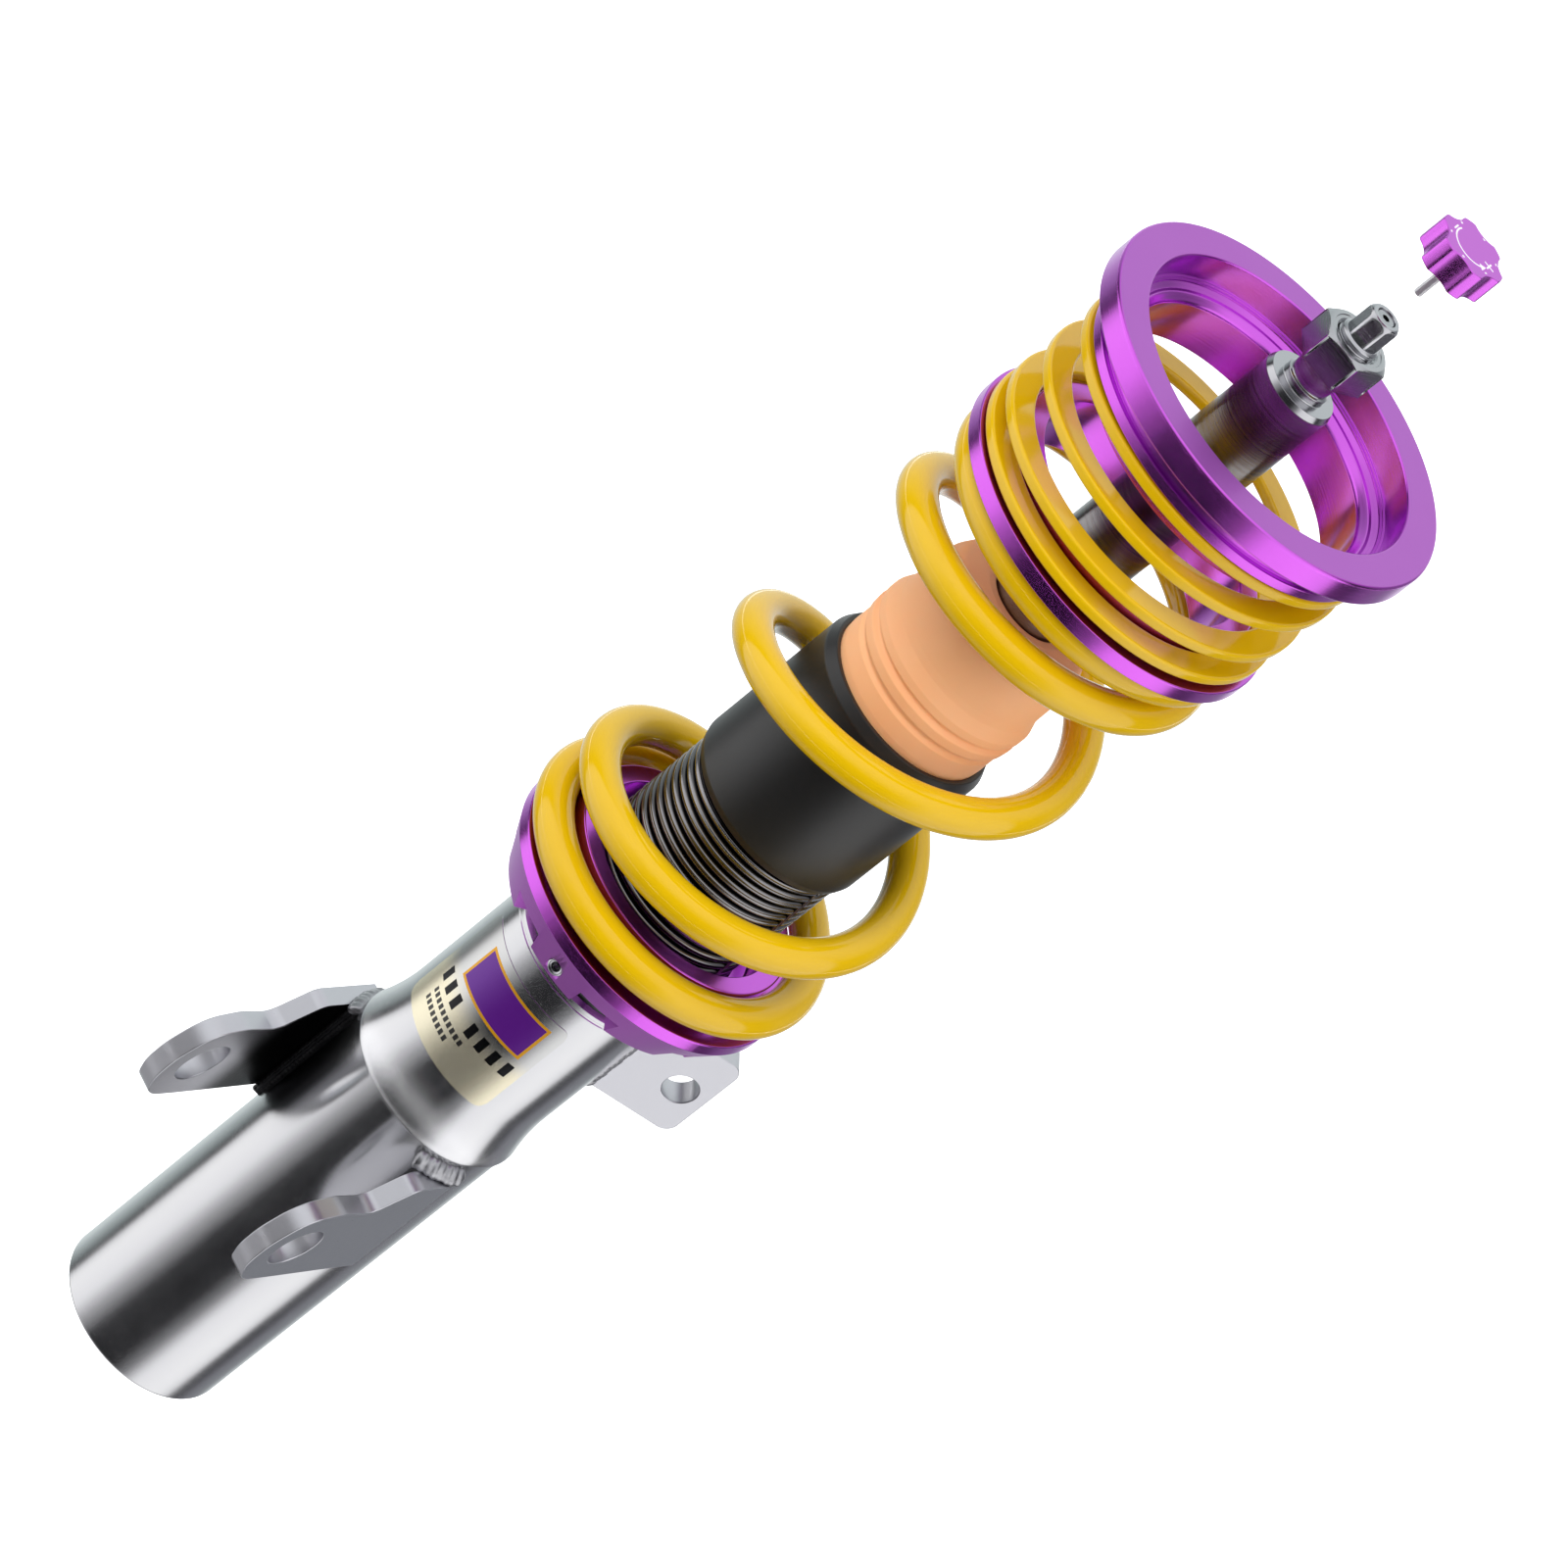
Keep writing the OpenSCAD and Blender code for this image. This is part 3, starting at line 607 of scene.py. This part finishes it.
foam_low, foam_high = heights("bump_stop")
bump_stop = turned("bump_stop_skin", [
    (12, foam_low, 0.6), (24.6, foam_low, 0.4), (25.0, 316, 1.5), (25.0, 320.9, 0.8), (24.2, 322.3, 0.9),
    (25.5, 323.9, 1.0), (25.8, 326.7, 0.7), (24.3, 328.1, 0.7), (25.8, 329.4, 0.9), (25.8, 331.8, 1.4),
    (24.3, 335.7, 1.5), (24.1, 338, 2), (23.9, 350.2, 5), (21.4, 355.6, 3), (14, foam_high, 2),
    (11.4, foam_high, 0.5), (11.4, foam_high - 4, 0), (12, foam_high - 5, 0)], foam)
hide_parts("bump_stop")
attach(bump_stop, "strut")

# Nitrile rubber of the rod seal and the rebound bumper: dull black.
nitrile, nitrile_tree, nitrile_shader = finish_named(
    "moulded_nitrile_rubber", IOR=1.52, Base_Color=linear("#161617"))
roughened(nitrile_tree, nitrile_shader, mottle(nitrile_tree, 900.0), 0.55, 0.75)

# Bronze-backed bush and the filled PTFE band: dull gold brown.
bronze = turned_metal("sintered_bronze", "#A8855A", 0.4, 0.4, 0.1, 0.2)
dressed(bronze, "guide_bush", "piston_band")
dressed(nitrile, "rod_seal", "rebound_bumper")


# ---- Damper rod and top nut -------------------------------------------------------------------
# A 22 mm rod of induction-hardened steel, ground and hard-chromed below its shoulder and left bare
# above it, with an M12 stud, a turned hexagon for the spanner and the nut that holds the top mount.

# Ground and chromed rod: dark mirror with fine rings from the grinding wheel.
chromed_rod = turned_metal("ground_chromed_rod", "#8D8B8C", 0.2, 0.8, 0.12, 0.6, 0.06)
# Bare turned steel of the shoulder, stud and key end: brighter, with wider tool marks.
turned_steel = turned_metal("bare_turned_steel", "#BCBCC0", 0.17, 0.35, 0.12, 0.4)

ROD_R, STUD_R = 11.0, 6.0
BORE_R, FOOT_BORE_R, KEY_BORE_R = 2.05, 1.0, 2.95  # the rod's hollow, its lower and its upper end
STUD_PITCH = 1.25
THREAD_ROOT_R = STUD_R - 0.75
SHOULDER_Z = 455.5
STUD_Z = SHOULDER_Z + 9.6
KEY_Z = SHOULDER_Z + 20
KEY_TOP = KEY_Z + 9
rod_low = heights("piston_rod")[0]
PARTING_Z = SHOULDER_Z - 1.7  # where the chrome ends and the bare steel begins
rod = turned("rod_shank", [
    (BORE_R, 222, 0), (FOOT_BORE_R, 222, 0), (FOOT_BORE_R, rod_low, 0), (7, rod_low, 0.6), (7, 250, 0),
    (ROD_R, 250, 0.3), (ROD_R, PARTING_Z, 0.15), (ROD_R - 0.1, PARTING_Z, 0),
    (BORE_R, PARTING_Z, 0)], chromed_rod)
shoulder = turned("rod_shoulder", [
    (BORE_R, SHOULDER_Z - 1.75, 0), (ROD_R, SHOULDER_Z - 1.75, 0.1), (ROD_R - 0.75, SHOULDER_Z, 0.15),
    (6.7, SHOULDER_Z, 0.3), (6.7, SHOULDER_Z + 2, 0.2), (STUD_R, SHOULDER_Z + 2.4, 0.3),
    (STUD_R, STUD_Z, 0.1), (THREAD_ROOT_R, STUD_Z + 0.6, 0), (THREAD_ROOT_R, KEY_Z - 1.2, 0),
    (STUD_R - 0.1, KEY_Z - 0.8, 0.1), (STUD_R - 0.1, KEY_Z + 0.1, 0.2), (5.2, KEY_Z + 0.7, 0.2),
    (KEY_BORE_R, KEY_Z + 0.7, 0), (KEY_BORE_R, KEY_Z - 10, 0), (BORE_R, KEY_Z - 10, 0)], turned_steel)
METRIC = [(0.0, 0.0), (0.12, 0.05), (0.3, 0.5), (0.45, 0.95), (0.55, 0.95), (0.75, 0.5), (0.9, 0.05)]
stud = threaded(
    "stud_thread", STUD_R, THREAD_ROOT_R, STUD_PITCH, STUD_Z, KEY_Z, METRIC, turned_steel, 72)
key_crown = [(5.0 - 0.9 * (k / 6) ** 1.3, KEY_TOP - 1.4 + 1.4 * k / 6, 0) for k in range(7)]
key = turned("rod_key", [(KEY_BORE_R, KEY_Z, 0), (5.0, KEY_Z, 0)] + key_crown
             + [(KEY_BORE_R, KEY_TOP, 0.15)], turned_steel, flats=9.0)
for piece in (rod, shoulder, stud, key):
    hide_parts("piston_rod")
    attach(piece, "rod")

# Zinc-plated M12 nut, 19 mm across the flats, chamfered on its upper side.
zinc_plate = turned_metal("zinc_plated_steel", "#B4B5B8", 0.17, 0.5, 0.04, 0.0)
NUT_AF = 19.0
nut_low, nut_high = heights("top_nut")
nut_bevel = [(NUT_AF / 2 - 0.3 + 2.0 * k / 10, nut_high - 1.12 * k / 10, 0)
             for k in range(10, -1, -1)]
top_nut = turned("top_nut_skin", [
    (STUD_R, nut_low + 0.5, 0), (STUD_R + 0.6, nut_low, 0), (13.0, nut_low, 0)] + nut_bevel + [
    (8.0, nut_high, 0.1), (7.8, nut_high - 0.25, 0.1), (6.9, nut_high - 0.25, 0.1),
    (STUD_R, nut_high - 1.0, 0)], zinc_plate, flats=NUT_AF)
for hexagon in (key, top_nut):
    rounding = hexagon.modifiers.new("edge_rounding", "BEVEL")
    rounding.width, rounding.segments, rounding.limit_method = 0.00025, 2, "ANGLE"
    rounding.angle_limit = math.radians(35)
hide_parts("top_nut")
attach(top_nut, "rod")

dressed(zinc_plate, "piston_nut", "adjuster_shaft", "needle")


# ---- Rebound knob -----------------------------------------------------------------------------
# A lobed knob turned and milled from aluminium, anodised purple, on a 2 mm hexagon pin that drops
# into the adjuster in the rod. White filled marks on its face show the clicks and the way to turn.

def anodised(name, colour, roughness, spacing_mm, relief, stretch):
    """Dyed anodised aluminium: the metal's tool marks seen through a clear coloured skin."""
    made = turned_metal(name, colour, roughness, spacing_mm, relief, stretch, 0.04)
    shader = made.node_tree.nodes["Principled BSDF"]
    shader.inputs["Coat Weight"].default_value = 0.25
    shader.inputs["Coat Roughness"].default_value = 0.15
    return made


# Milled and anodised: satin purple with tight highlights.
anodised_milled = anodised("purple_anodised_milled", "#CF66DC", 0.24, 0.5, 0.05, 0.0)

KNOB_R, KNOB_LOBES, SCALLOP_R, SCALLOP_DEEP = 10.4, 6, 6.0, 1.7
KNOB_TURN = VIEW_SIDE + math.radians(33.5)
knob_low, knob_high = heights("rebound_knob")
knob_outline = []
scallop_at = KNOB_R + SCALLOP_R - SCALLOP_DEEP
mouth = math.acos((scallop_at ** 2 + KNOB_R ** 2 - SCALLOP_R ** 2) / (2 * scallop_at * KNOB_R))
for i in range(KNOB_LOBES):
    lobe = KNOB_TURN + 2 * math.pi * i / KNOB_LOBES
    reach = math.pi / KNOB_LOBES - mouth
    knob_outline += [(KNOB_R * math.cos(lobe + reach * t), KNOB_R * math.sin(lobe + reach * t), 0)
                     for t in (-0.86, -0.5, 0, 0.5, 0.86)]
    gap = lobe + math.pi / KNOB_LOBES
    open_half = math.asin(min(1, KNOB_R * math.sin(mouth) / SCALLOP_R))
    for k in range(9):
        a = gap + math.pi + open_half * (1 - k / 4) * 0.93
        knob_outline.append((scallop_at * math.cos(gap) + SCALLOP_R * math.cos(a),
                             scallop_at * math.sin(gap) + SCALLOP_R * math.sin(a), 0))

# The knob's face carries filled marks, so its purple has white paint in the engraved strokes.
knob_face = anodised("purple_anodised_marked", "#CF66DC", 0.3, 0.5, 0.05, 0.0)
face_tree = knob_face.node_tree
face_shader = face_tree.nodes["Principled BSDF"]
face_place = add(face_tree, "ShaderNodeTexCoord")
face_turn = add(face_tree, "ShaderNodeVectorRotate", {
    "Vector": face_place.outputs["Object"], "Angle": -VIEW_SIDE}, rotation_type="Z_AXIS")
face_xyz = add(face_tree, "ShaderNodeSeparateXYZ", {0: face_turn.outputs[0]})
face_angle = calc(face_tree, "ARCTAN2", face_xyz.outputs["Y"], face_xyz.outputs["X"])
face_flat = add(face_tree, "ShaderNodeVectorMath", {0: face_turn.outputs[0], 1: (1, 1, 0)},
                operation="MULTIPLY")
face_r = add(face_tree, "ShaderNodeVectorMath", {0: face_flat.outputs[0]}, operation="LENGTH")
face_mm = calc(face_tree, "MULTIPLY", face_r.outputs["Value"], 1000.0)
face_sector = calc(face_tree, "PINGPONG", face_angle, math.pi / KNOB_LOBES * 2)
ticks = field(face_tree, face_sector, face_mm, -0.1, 0.035, 8.1, 9.6)
ring_arc = field(face_tree, face_angle, face_mm, -1.9, 0.9, 5.6, 6.1)
face_half = calc(face_tree, "PINGPONG", face_angle, math.pi / KNOB_LOBES)
dots = field(face_tree, face_half, face_mm, -0.1, 0.05, 7.3, 7.8)
arrow_u = calc(face_tree, "MULTIPLY_ADD", face_angle, -1.0, 1.25)
arrow_off = calc(face_tree, "ABSOLUTE", calc(face_tree, "ADD", face_mm, -5.85))
arrow_in = calc(face_tree, "LESS_THAN", calc(face_tree, "MULTIPLY", arrow_off, 0.32), arrow_u)
arrow_end = calc(face_tree, "LESS_THAN", arrow_u, 0.36)
arrow = calc(face_tree, "MULTIPLY", arrow_in, arrow_end)
plus_x, plus_y = [calc(face_tree, "MULTIPLY", face_xyz.outputs[axis], 1000.0) for axis in ("X", "Y")]
marks = ticks
for mask in (ring_arc, dots, arrow, field(face_tree, plus_x, plus_y, -1.6, 1.6, 5.6, 6.1),
             field(face_tree, plus_x, plus_y, -0.25, 0.25, 4.25, 7.45),
             field(face_tree, plus_x, plus_y, -1.3, 1.3, -6.9, -6.4)):
    marks = calc(face_tree, "MAXIMUM", marks, mask)
face_colour = inked(face_tree, linear("#CF66DC"), marks, "#F6F0F8")
face_tree.links.new(face_colour, face_shader.inputs["Base Color"])
face_tree.links.new(calc(face_tree, "SUBTRACT", 1.0, marks), face_shader.inputs["Metallic"])

knob = plate("knob_skin", knob_outline, (0, 0), 0, knob_high - knob_low, 0.45, anodised_milled,
             Matrix.Translation((0, 0, (knob_low + knob_high) / 2000)))
knob.data.materials.append(knob_face)
for face in knob.data.polygons:
    if face.normal.z > 0.99:
        face.material_index = 1
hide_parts("rebound_knob")
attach(knob, "knob")
# Bright drawn hexagon key steel.
bright_pin = turned_metal("drawn_key_steel", "#F2F2F2", 0.5, 0.5, 0.02, 0.0)
dressed(bright_pin, "knob_pin")


# ---- Spring perch -----------------------------------------------------------------------------
# The screwed collar under the main spring: aluminium, purple anodised, with eight notches for a
# hook spanner and a grub screw that presses a nylon pad on the thread.

# Turned and anodised: bright rings on the flange; the milled cone is bead-blasted to a dull purple.
anodised_turned = anodised("purple_anodised_turned", "#CE60DE", 0.2, 0.45, 0.07, 0.6)
anodised_blasted = anodised("purple_anodised_blasted", "#BC64CC", 0.42, 0.3, 0.05, 0.0)

NOTCHES, NOTCH_WIDE, NOTCH_TOP, NOTCH_AT = 8, 19.0, 205.5, -53.0
PERCH_R, PERCH_EDGE, CONE_R = 44.5, 211.5, 37.6
FLANGE_TOP, SPIGOT_R, PERCH_BORE = PERCH_EDGE + 3.8, 35.5, 26.05
perch_low, perch_high = heights("spring_perch")
cone_at_notch = CONE_R + (PERCH_R - CONE_R) * (NOTCH_TOP - perch_low) / (PERCH_EDGE - perch_low)
perch_rim = eased([
    (29.5, perch_low, 0.2), (CONE_R, perch_low, 0.35), (cone_at_notch, NOTCH_TOP, 0),
    (PERCH_R, PERCH_EDGE, 0.4), (PERCH_R, FLANGE_TOP, 0.5), (SPIGOT_R, FLANGE_TOP, 0.2),
    (SPIGOT_R, perch_high, 0.6), (30, perch_high, 0.4), (30, 217, 0.6), (26.6, 216.4, 0.2),
    (PERCH_BORE, 215.6, 0), (PERCH_BORE, 201.4, 0), (27.1, 200.4, 0.1), (28.9, 200.4, 0.1)])
columns = []
for i in range(NOTCHES):
    centre = NOTCH_AT + 360 / NOTCHES * i
    for k in range(11):
        columns.append((centre - NOTCH_WIDE / 2 + NOTCH_WIDE * k / 10, True))
    for k in range(15):
        columns.append((centre + NOTCH_WIDE / 2 + (360 / NOTCHES - NOTCH_WIDE) * k / 14, False))
perch_points = []
for degrees, notched in columns:
    turn = math.radians(degrees)
    for p in perch_rim:
        r, z = p.x, p.y
        if notched and z < NOTCH_TOP:
            if r > CONE_R - 0.5:
                r = r + (cone_at_notch - CONE_R) * (NOTCH_TOP - z) / (NOTCH_TOP - perch_low)
            z = NOTCH_TOP
        perch_points.append((r * math.cos(turn), r * math.sin(turn), z))
perch_faces = loops_joined(len(columns), len(perch_rim), closed=True)
perch = mesh_piece("perch_skin", perch_points, perch_faces, anodised_turned)
perch.data.materials.append(anodised_blasted)
for face in perch.data.polygons:
    face_z = face.center.z * 1000
    if face_z < PERCH_EDGE - 0.3 and abs(face.normal.z) < 0.9 or face_z < NOTCH_TOP + 0.1:
        face.material_index = 1
SCREW_TURN, SCREW_Z, SCREW_R = math.radians(-75.5), 203.7, 2.5
screw_place = (Matrix.Translation((0, 0, SCREW_Z / 1000)) @ Matrix.Rotation(SCREW_TURN, 4, "Z")
               @ Matrix.Rotation(math.pi / 2, 4, "Y"))
drill = turned("drill", [(0.01, 30, 0), (SCREW_R + 0.05, 30, 0), (SCREW_R + 0.05, 50, 0),
                         (0.01, 50, 0)], anodised_turned, 48)
drill.data.transform(screw_place)
drilling = perch.modifiers.new("screw_hole", "BOOLEAN")
drilling.object, drilling.solver = drill, "EXACT"
perch.modifiers.move(1, 0)
drilled = bpy.data.meshes.new_from_object(perch.evaluated_get(bpy.context.evaluated_depsgraph_get()))
perch.modifiers.remove(drilling)
perch.data = drilled
bpy.data.objects.remove(drill)
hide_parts("spring_perch")
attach(perch, "collar")

# The grub screw: black-oxidised, with a socket for a 2.5 mm key and a bright worn rim.
socket = [(SCREW_R - 1.1, 33.0, 0), (SCREW_R - 1.1, 39.9, 0.15), (SCREW_R - 0.55, 40.2, 0.15),
          (SCREW_R, 39.9, 0.2), (SCREW_R, 33.0, 0)]
screw = turned("grub_screw_skin", socket, turned_steel, 48)
floor_of_socket = turned("grub_screw_socket", [
    (0.01, 33.0, 0), (SCREW_R - 0.9, 33.0, 0), (SCREW_R - 0.9, 36.6, 0), (0.01, 36.2, 0)], oxidised, 48)
for piece in (screw, floor_of_socket):
    piece.data.transform(screw_place @ Matrix.Rotation(-VIEW_SIDE, 4, "Z"))
    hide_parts("set_screw")
    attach(piece, "collar")

# The nylon pad behind the grub screw, natural white.
pad_nylon, pad_tree, pad_shader = finish_named("natural_nylon", IOR=1.53, Roughness=0.45)
toned(pad_tree, pad_shader, mottle(pad_tree, 300.0), "#DAD6C8", "#ECE8DC")
dressed(pad_nylon, "lock_pad")


# ---- Main spring ------------------------------------------------------------------------------
# Cold-wound from 11 mm spring steel, both ends closed, shot-peened and powder-coated yellow.
# Its pitch opens towards the middle.

# Powder coat: thick gloss yellow with a faint orange-peel surface.
powder, powder_tree, powder_shader = finish_named("yellow_powder_coat", IOR=1.5, Roughness=0.09)
toned(powder_tree, powder_shader, mottle(powder_tree, 30.0, 3.0), "#E2B606", "#E9BD0A")
bumped(powder_tree, powder_shader, mottle(powder_tree, 450.0), 0.03, 0.0002)


def wound(name, section, mean_r, rise, low, high, step=3.0):
    """A right-handed coil. section is a loop of (outwards, upwards) in mm; rise lists (turned degrees,
    mm per turn); low and high are the heights of the wire's middle at its two ends."""
    first, last = rise[0][0], rise[-1][0]
    count = int((last - first) / step)

    def pitch(a):
        for (a0, p0), (a1, p1) in zip(rise, rise[1:]):
            if a <= a1:
                return p0 + (p1 - p0) * (a - a0) / (a1 - a0)
        return rise[-1][1]

    climb = [0.0]
    for i in range(count):
        climb.append(climb[-1] + pitch(first + (i + 0.5) * step) * step / 360)
    m = len(section)
    points = []
    for i in range(count + 1):
        turn = VIEW_SIDE + math.radians(first + i * step)
        lean = math.atan(pitch(first + i * step) / (2 * math.pi * mean_r))
        z = low + (high - low) * climb[i] / climb[-1]
        end = min(i, count - i)
        shrink = 1.0 if end > 2 else (0.86, 0.95, 0.99)[end]
        for u, v in section:
            u, v = u * shrink, v * shrink
            points.append(((mean_r + u) * math.cos(turn) + v * math.sin(lean) * math.sin(turn),
                           (mean_r + u) * math.sin(turn) - v * math.sin(lean) * math.cos(turn),
                           z + v * math.cos(lean)))
    faces = loops_joined(count + 1, m)
    faces += [tuple(range(m)), tuple(reversed(range(count * m, count * m + m)))]
    return mesh_piece(name, points, faces, powder, crease=60)


WIRE_D, SPRING_R = 11.0, 41.75
MAIN_RISE = [(-180, 0), (-60, 3), (0, 10), (120, 20), (300, 30), (400, 54), (480, 71), (620, 71), (700, 66),
             (900, 62), (980, 60), (1040, 32), (1140, 22), (1300, 18), (1440, 4), (1560, 0)]
main_low, main_high = heights("main_spring")
wire = [(WIRE_D / 2 * math.cos(2 * math.pi * k / 28), WIRE_D / 2 * math.sin(2 * math.pi * k / 28))
        for k in range(28)]
main_spring = wound("main_spring_skin", wire, SPRING_R, MAIN_RISE,
                    main_low + WIRE_D / 2, main_high - WIRE_D / 2)
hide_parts("main_spring")
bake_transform(main_spring)


# ---- Separator ring and helper spring ---------------------------------------------------------
# A turned aluminium ring keeps the main spring and the helper on one axis. The helper is wound
# from flat wire, powder-coated the same yellow, and only keeps the main spring seated.

SEP_R, SEP_TOP, SEP_UNDER = 49.3, 392.0, 390.3
sep_low, sep_high = heights("spring_separator")
separator = turned("separator_skin", [
    (33.6, sep_low, 0.6), (35.6, sep_low, 0.6), (35.6, SEP_UNDER, 0.2), (47.6, SEP_UNDER, 0.2),
    (47.6, 387.6, 0.3), (SEP_R, 387.6, 0.35), (SEP_R, SEP_TOP, 0.45), (39.6, SEP_TOP, 0.2),
    (39.6, sep_high, 0.6),
    (33.6, sep_high, 0.6)], anodised_turned)
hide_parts("spring_separator")
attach(separator, "separator")

FLAT_WIDE, FLAT_HIGH, HELPER_R = 8.0, 3.2, 44.3
HELPER_RISE = [(-180, 0), (0, 4), (180, 9), (360, 13), (540, 14), (960, 14), (1040, 8), (1120, 0), (1260, 0)]
flat = [(p.x, p.y) for p in eased([(FLAT_WIDE / 2, -FLAT_HIGH / 2, 0.9), (FLAT_WIDE / 2, FLAT_HIGH / 2, 0.9),
                                   (-FLAT_WIDE / 2, FLAT_HIGH / 2, 0.9),
    (-FLAT_WIDE / 2, -FLAT_HIGH / 2, 0.9)], 4)]
helper_low, helper_high = heights("helper_spring")
helper = wound("helper_spring_skin", flat, HELPER_R, HELPER_RISE,
               helper_low + FLAT_HIGH / 2, helper_high - FLAT_HIGH / 2)
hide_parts("helper_spring")
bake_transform(helper)


# ---- Top spring seat --------------------------------------------------------------------------
# The turned aluminium ring that takes the top mount's bearing: a wide flat rim over a groove, with
# a stepped bore. Purple anodised like the perch; its top face is blasted dull.

SEAT_R = 54.7
seat_low, seat_high = heights("top_spring_seat")
seat = turned("top_seat_skin", [
    (38.6, seat_low, 0.2), (39.6, seat_low, 0.3), (39.6, 431.4, 0.2), (48.2, 431.4, 0.45), (48.2, 434.4, 0.4),
    (46.6, 434.4, 0.2), (46.6, 440.2, 0.2), (SEAT_R, 440.2, 0.6), (SEAT_R, seat_high, 0.9),
    (44.3, seat_high, 0.6), (44.3, 439.3, 0.2), (43.7, 439.2, 0.15), (43.7, 438.8, 0.1),
    (43.1, 438.7, 0.1), (43.1, 438.2, 0.1),
    (41.6, 437.2, 0.5), (40.6, 437.2, 1.0), (38.6, 435.4, 1.6)], anodised_turned)
seat.data.materials.append(anodised_blasted)
for face in seat.data.polygons:
    if face.normal.z > 0.98 and face.center.z * 1000 > seat_high - 0.1:
        face.material_index = 1
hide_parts("top_spring_seat")
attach(seat, "top_seat")


# ---- Studio -----------------------------------------------------------------------------------
# A white sweep, and soft walls of light: two tall panels left and right of the view, a dark gap
# between them and a pale back, which polished tube needs to read as round.

FLOOR_HALF, FLOOR_Z = 9000, -420
floor = mesh_piece("floor", [(x * FLOOR_HALF, y * FLOOR_HALF, FLOOR_Z)
                             for x, y in ((-1, -1), (1, -1), (1, 1), (-1, 1))], [(0, 1, 2, 3)], phosphated)
floor.data.materials[0] = finish_named(
    "pale_sweep", Base_Color=linear("#F4F4F4"), Roughness=0.9,
    Emission_Color=(1, 1, 1, 1), Emission_Strength=0.75)[0]
floor.visible_glossy = False
floor.visible_diffuse = False

# The walls of light: (bearing from the view in degrees, colour), all the way round.
WALLS = [(-180, "#CFD6D6"), (-150, "#C4CDCD"), (-124, "#8F9898"), (-112, "#3A3A3C"), (-106, "#2E2E30"),
         (-103, "#E6E6E8"), (-94, "#FFFFFF"), (-62, "#F2F2F4"), (-44, "#A9A9AB"), (-22, "#303032"),
         (0, "#1D1D1F"), (22, "#242426"), (38, "#7E7E80"), (54, "#F4F4F6"), (84, "#FFFFFF"),
         (100, "#F0F0F2"), (104, "#3A3A3C"), (118, "#4A4A4E"), (126, "#75757B"), (150, "#84888C"),
         (166, "#D4DADA"), (180, "#CFD6D6")]
studio = bpy.data.worlds.new("soft_studio")
studio.use_nodes = True
bpy.context.scene.world = studio
sky = studio.node_tree
way = add(sky, "ShaderNodeTexCoord")
faced = add(sky, "ShaderNodeVectorRotate", {"Vector": way.outputs["Generated"], "Angle": -VIEW_SIDE},
            rotation_type="Z_AXIS")
faced_xyz = add(sky, "ShaderNodeSeparateXYZ", {0: faced.outputs[0]})
bearing = calc(sky, "ARCTAN2", faced_xyz.outputs["Y"], faced_xyz.outputs["X"])
share = mapped(sky, bearing, source=(-math.pi, math.pi))
walls = add(sky, "ShaderNodeValToRGB", {0: share})
for i, (degrees, colour) in enumerate(WALLS):
    stop = walls.color_ramp.elements[i] if i < 2 else walls.color_ramp.elements.new((degrees + 180) / 360)
    stop.position = (degrees + 180) / 360
    stop.color = linear(colour)
# A thin strip light runs round the walls below the horizon: the fine highlight on the coils.
strip = calc(sky, "COMPARE", faced_xyz.outputs["Z"], -0.27, 0.014)
striped = add(sky, "ShaderNodeMix", {0: strip, 6: walls.outputs["Color"], 7: (2.2, 2.2, 2.2, 1)},
              data_type="RGBA").outputs[2]
height = mapped(sky, faced_xyz.outputs["Z"], source=(0.45, 0.9))
depth = mapped(sky, faced_xyz.outputs["Z"], source=(-0.75, -0.95))
lit = inked(sky, inked(sky, striped, height, "#E4E6E8"), depth, "#9A9A9C")
seen = add(sky, "ShaderNodeLightPath")
backdrop = inked(sky, lit, seen.outputs["Is Camera Ray"], "#FFFFFF")
sky.nodes["Background"].inputs["Strength"].default_value = 1.35
sky.links.new(backdrop, sky.nodes["Background"].inputs["Color"])


def softbox(name, azimuth, elevation, distance, size, power):
    """A square soft light that lights matt surfaces; the walls of light make the highlights."""
    lamp = bpy.data.lights.new(name, "AREA")
    lamp.size, lamp.energy = size, power
    box = bpy.data.objects.new(name, lamp)
    bpy.context.scene.collection.objects.link(box)
    a, e = math.radians(azimuth), math.radians(elevation)
    middle = Vector((0, 0, 0.25))
    way_out = Vector((math.cos(a) * math.cos(e), math.sin(a) * math.cos(e), math.sin(e)))
    box.location = middle + distance * way_out
    box.rotation_euler = (middle - box.location).to_track_quat("-Z", "Y").to_euler()
    box.visible_glossy = False


softbox("key_light", VIEW_TURN - 40, 40, 2.2, 1.5, 24)
softbox("fill_light", VIEW_TURN + 55, 25, 2.2, 1.5, 11)

CAMERA_AT = Vector((0.5623, -1.5661, 1.2727))
AIMED_AT = Vector((-0.003354, -0.001212, 0.267882))
ROLL = math.radians(51.18)
lens = bpy.data.cameras.new("camera")
lens.lens, lens.sensor_width = 172.94, 36.0
lens.clip_start, lens.clip_end = 0.05, 60
camera = bpy.data.objects.new("camera", lens)
bpy.context.scene.collection.objects.link(camera)
camera.location = CAMERA_AT
camera.rotation_mode = "QUATERNION"
camera.rotation_quaternion = (AIMED_AT - CAMERA_AT).to_track_quat("-Z", "Y") @ Quaternion((0, 0, 1), ROLL)
bpy.context.scene.camera = camera
bpy.context.scene.view_settings.view_transform = "Standard"
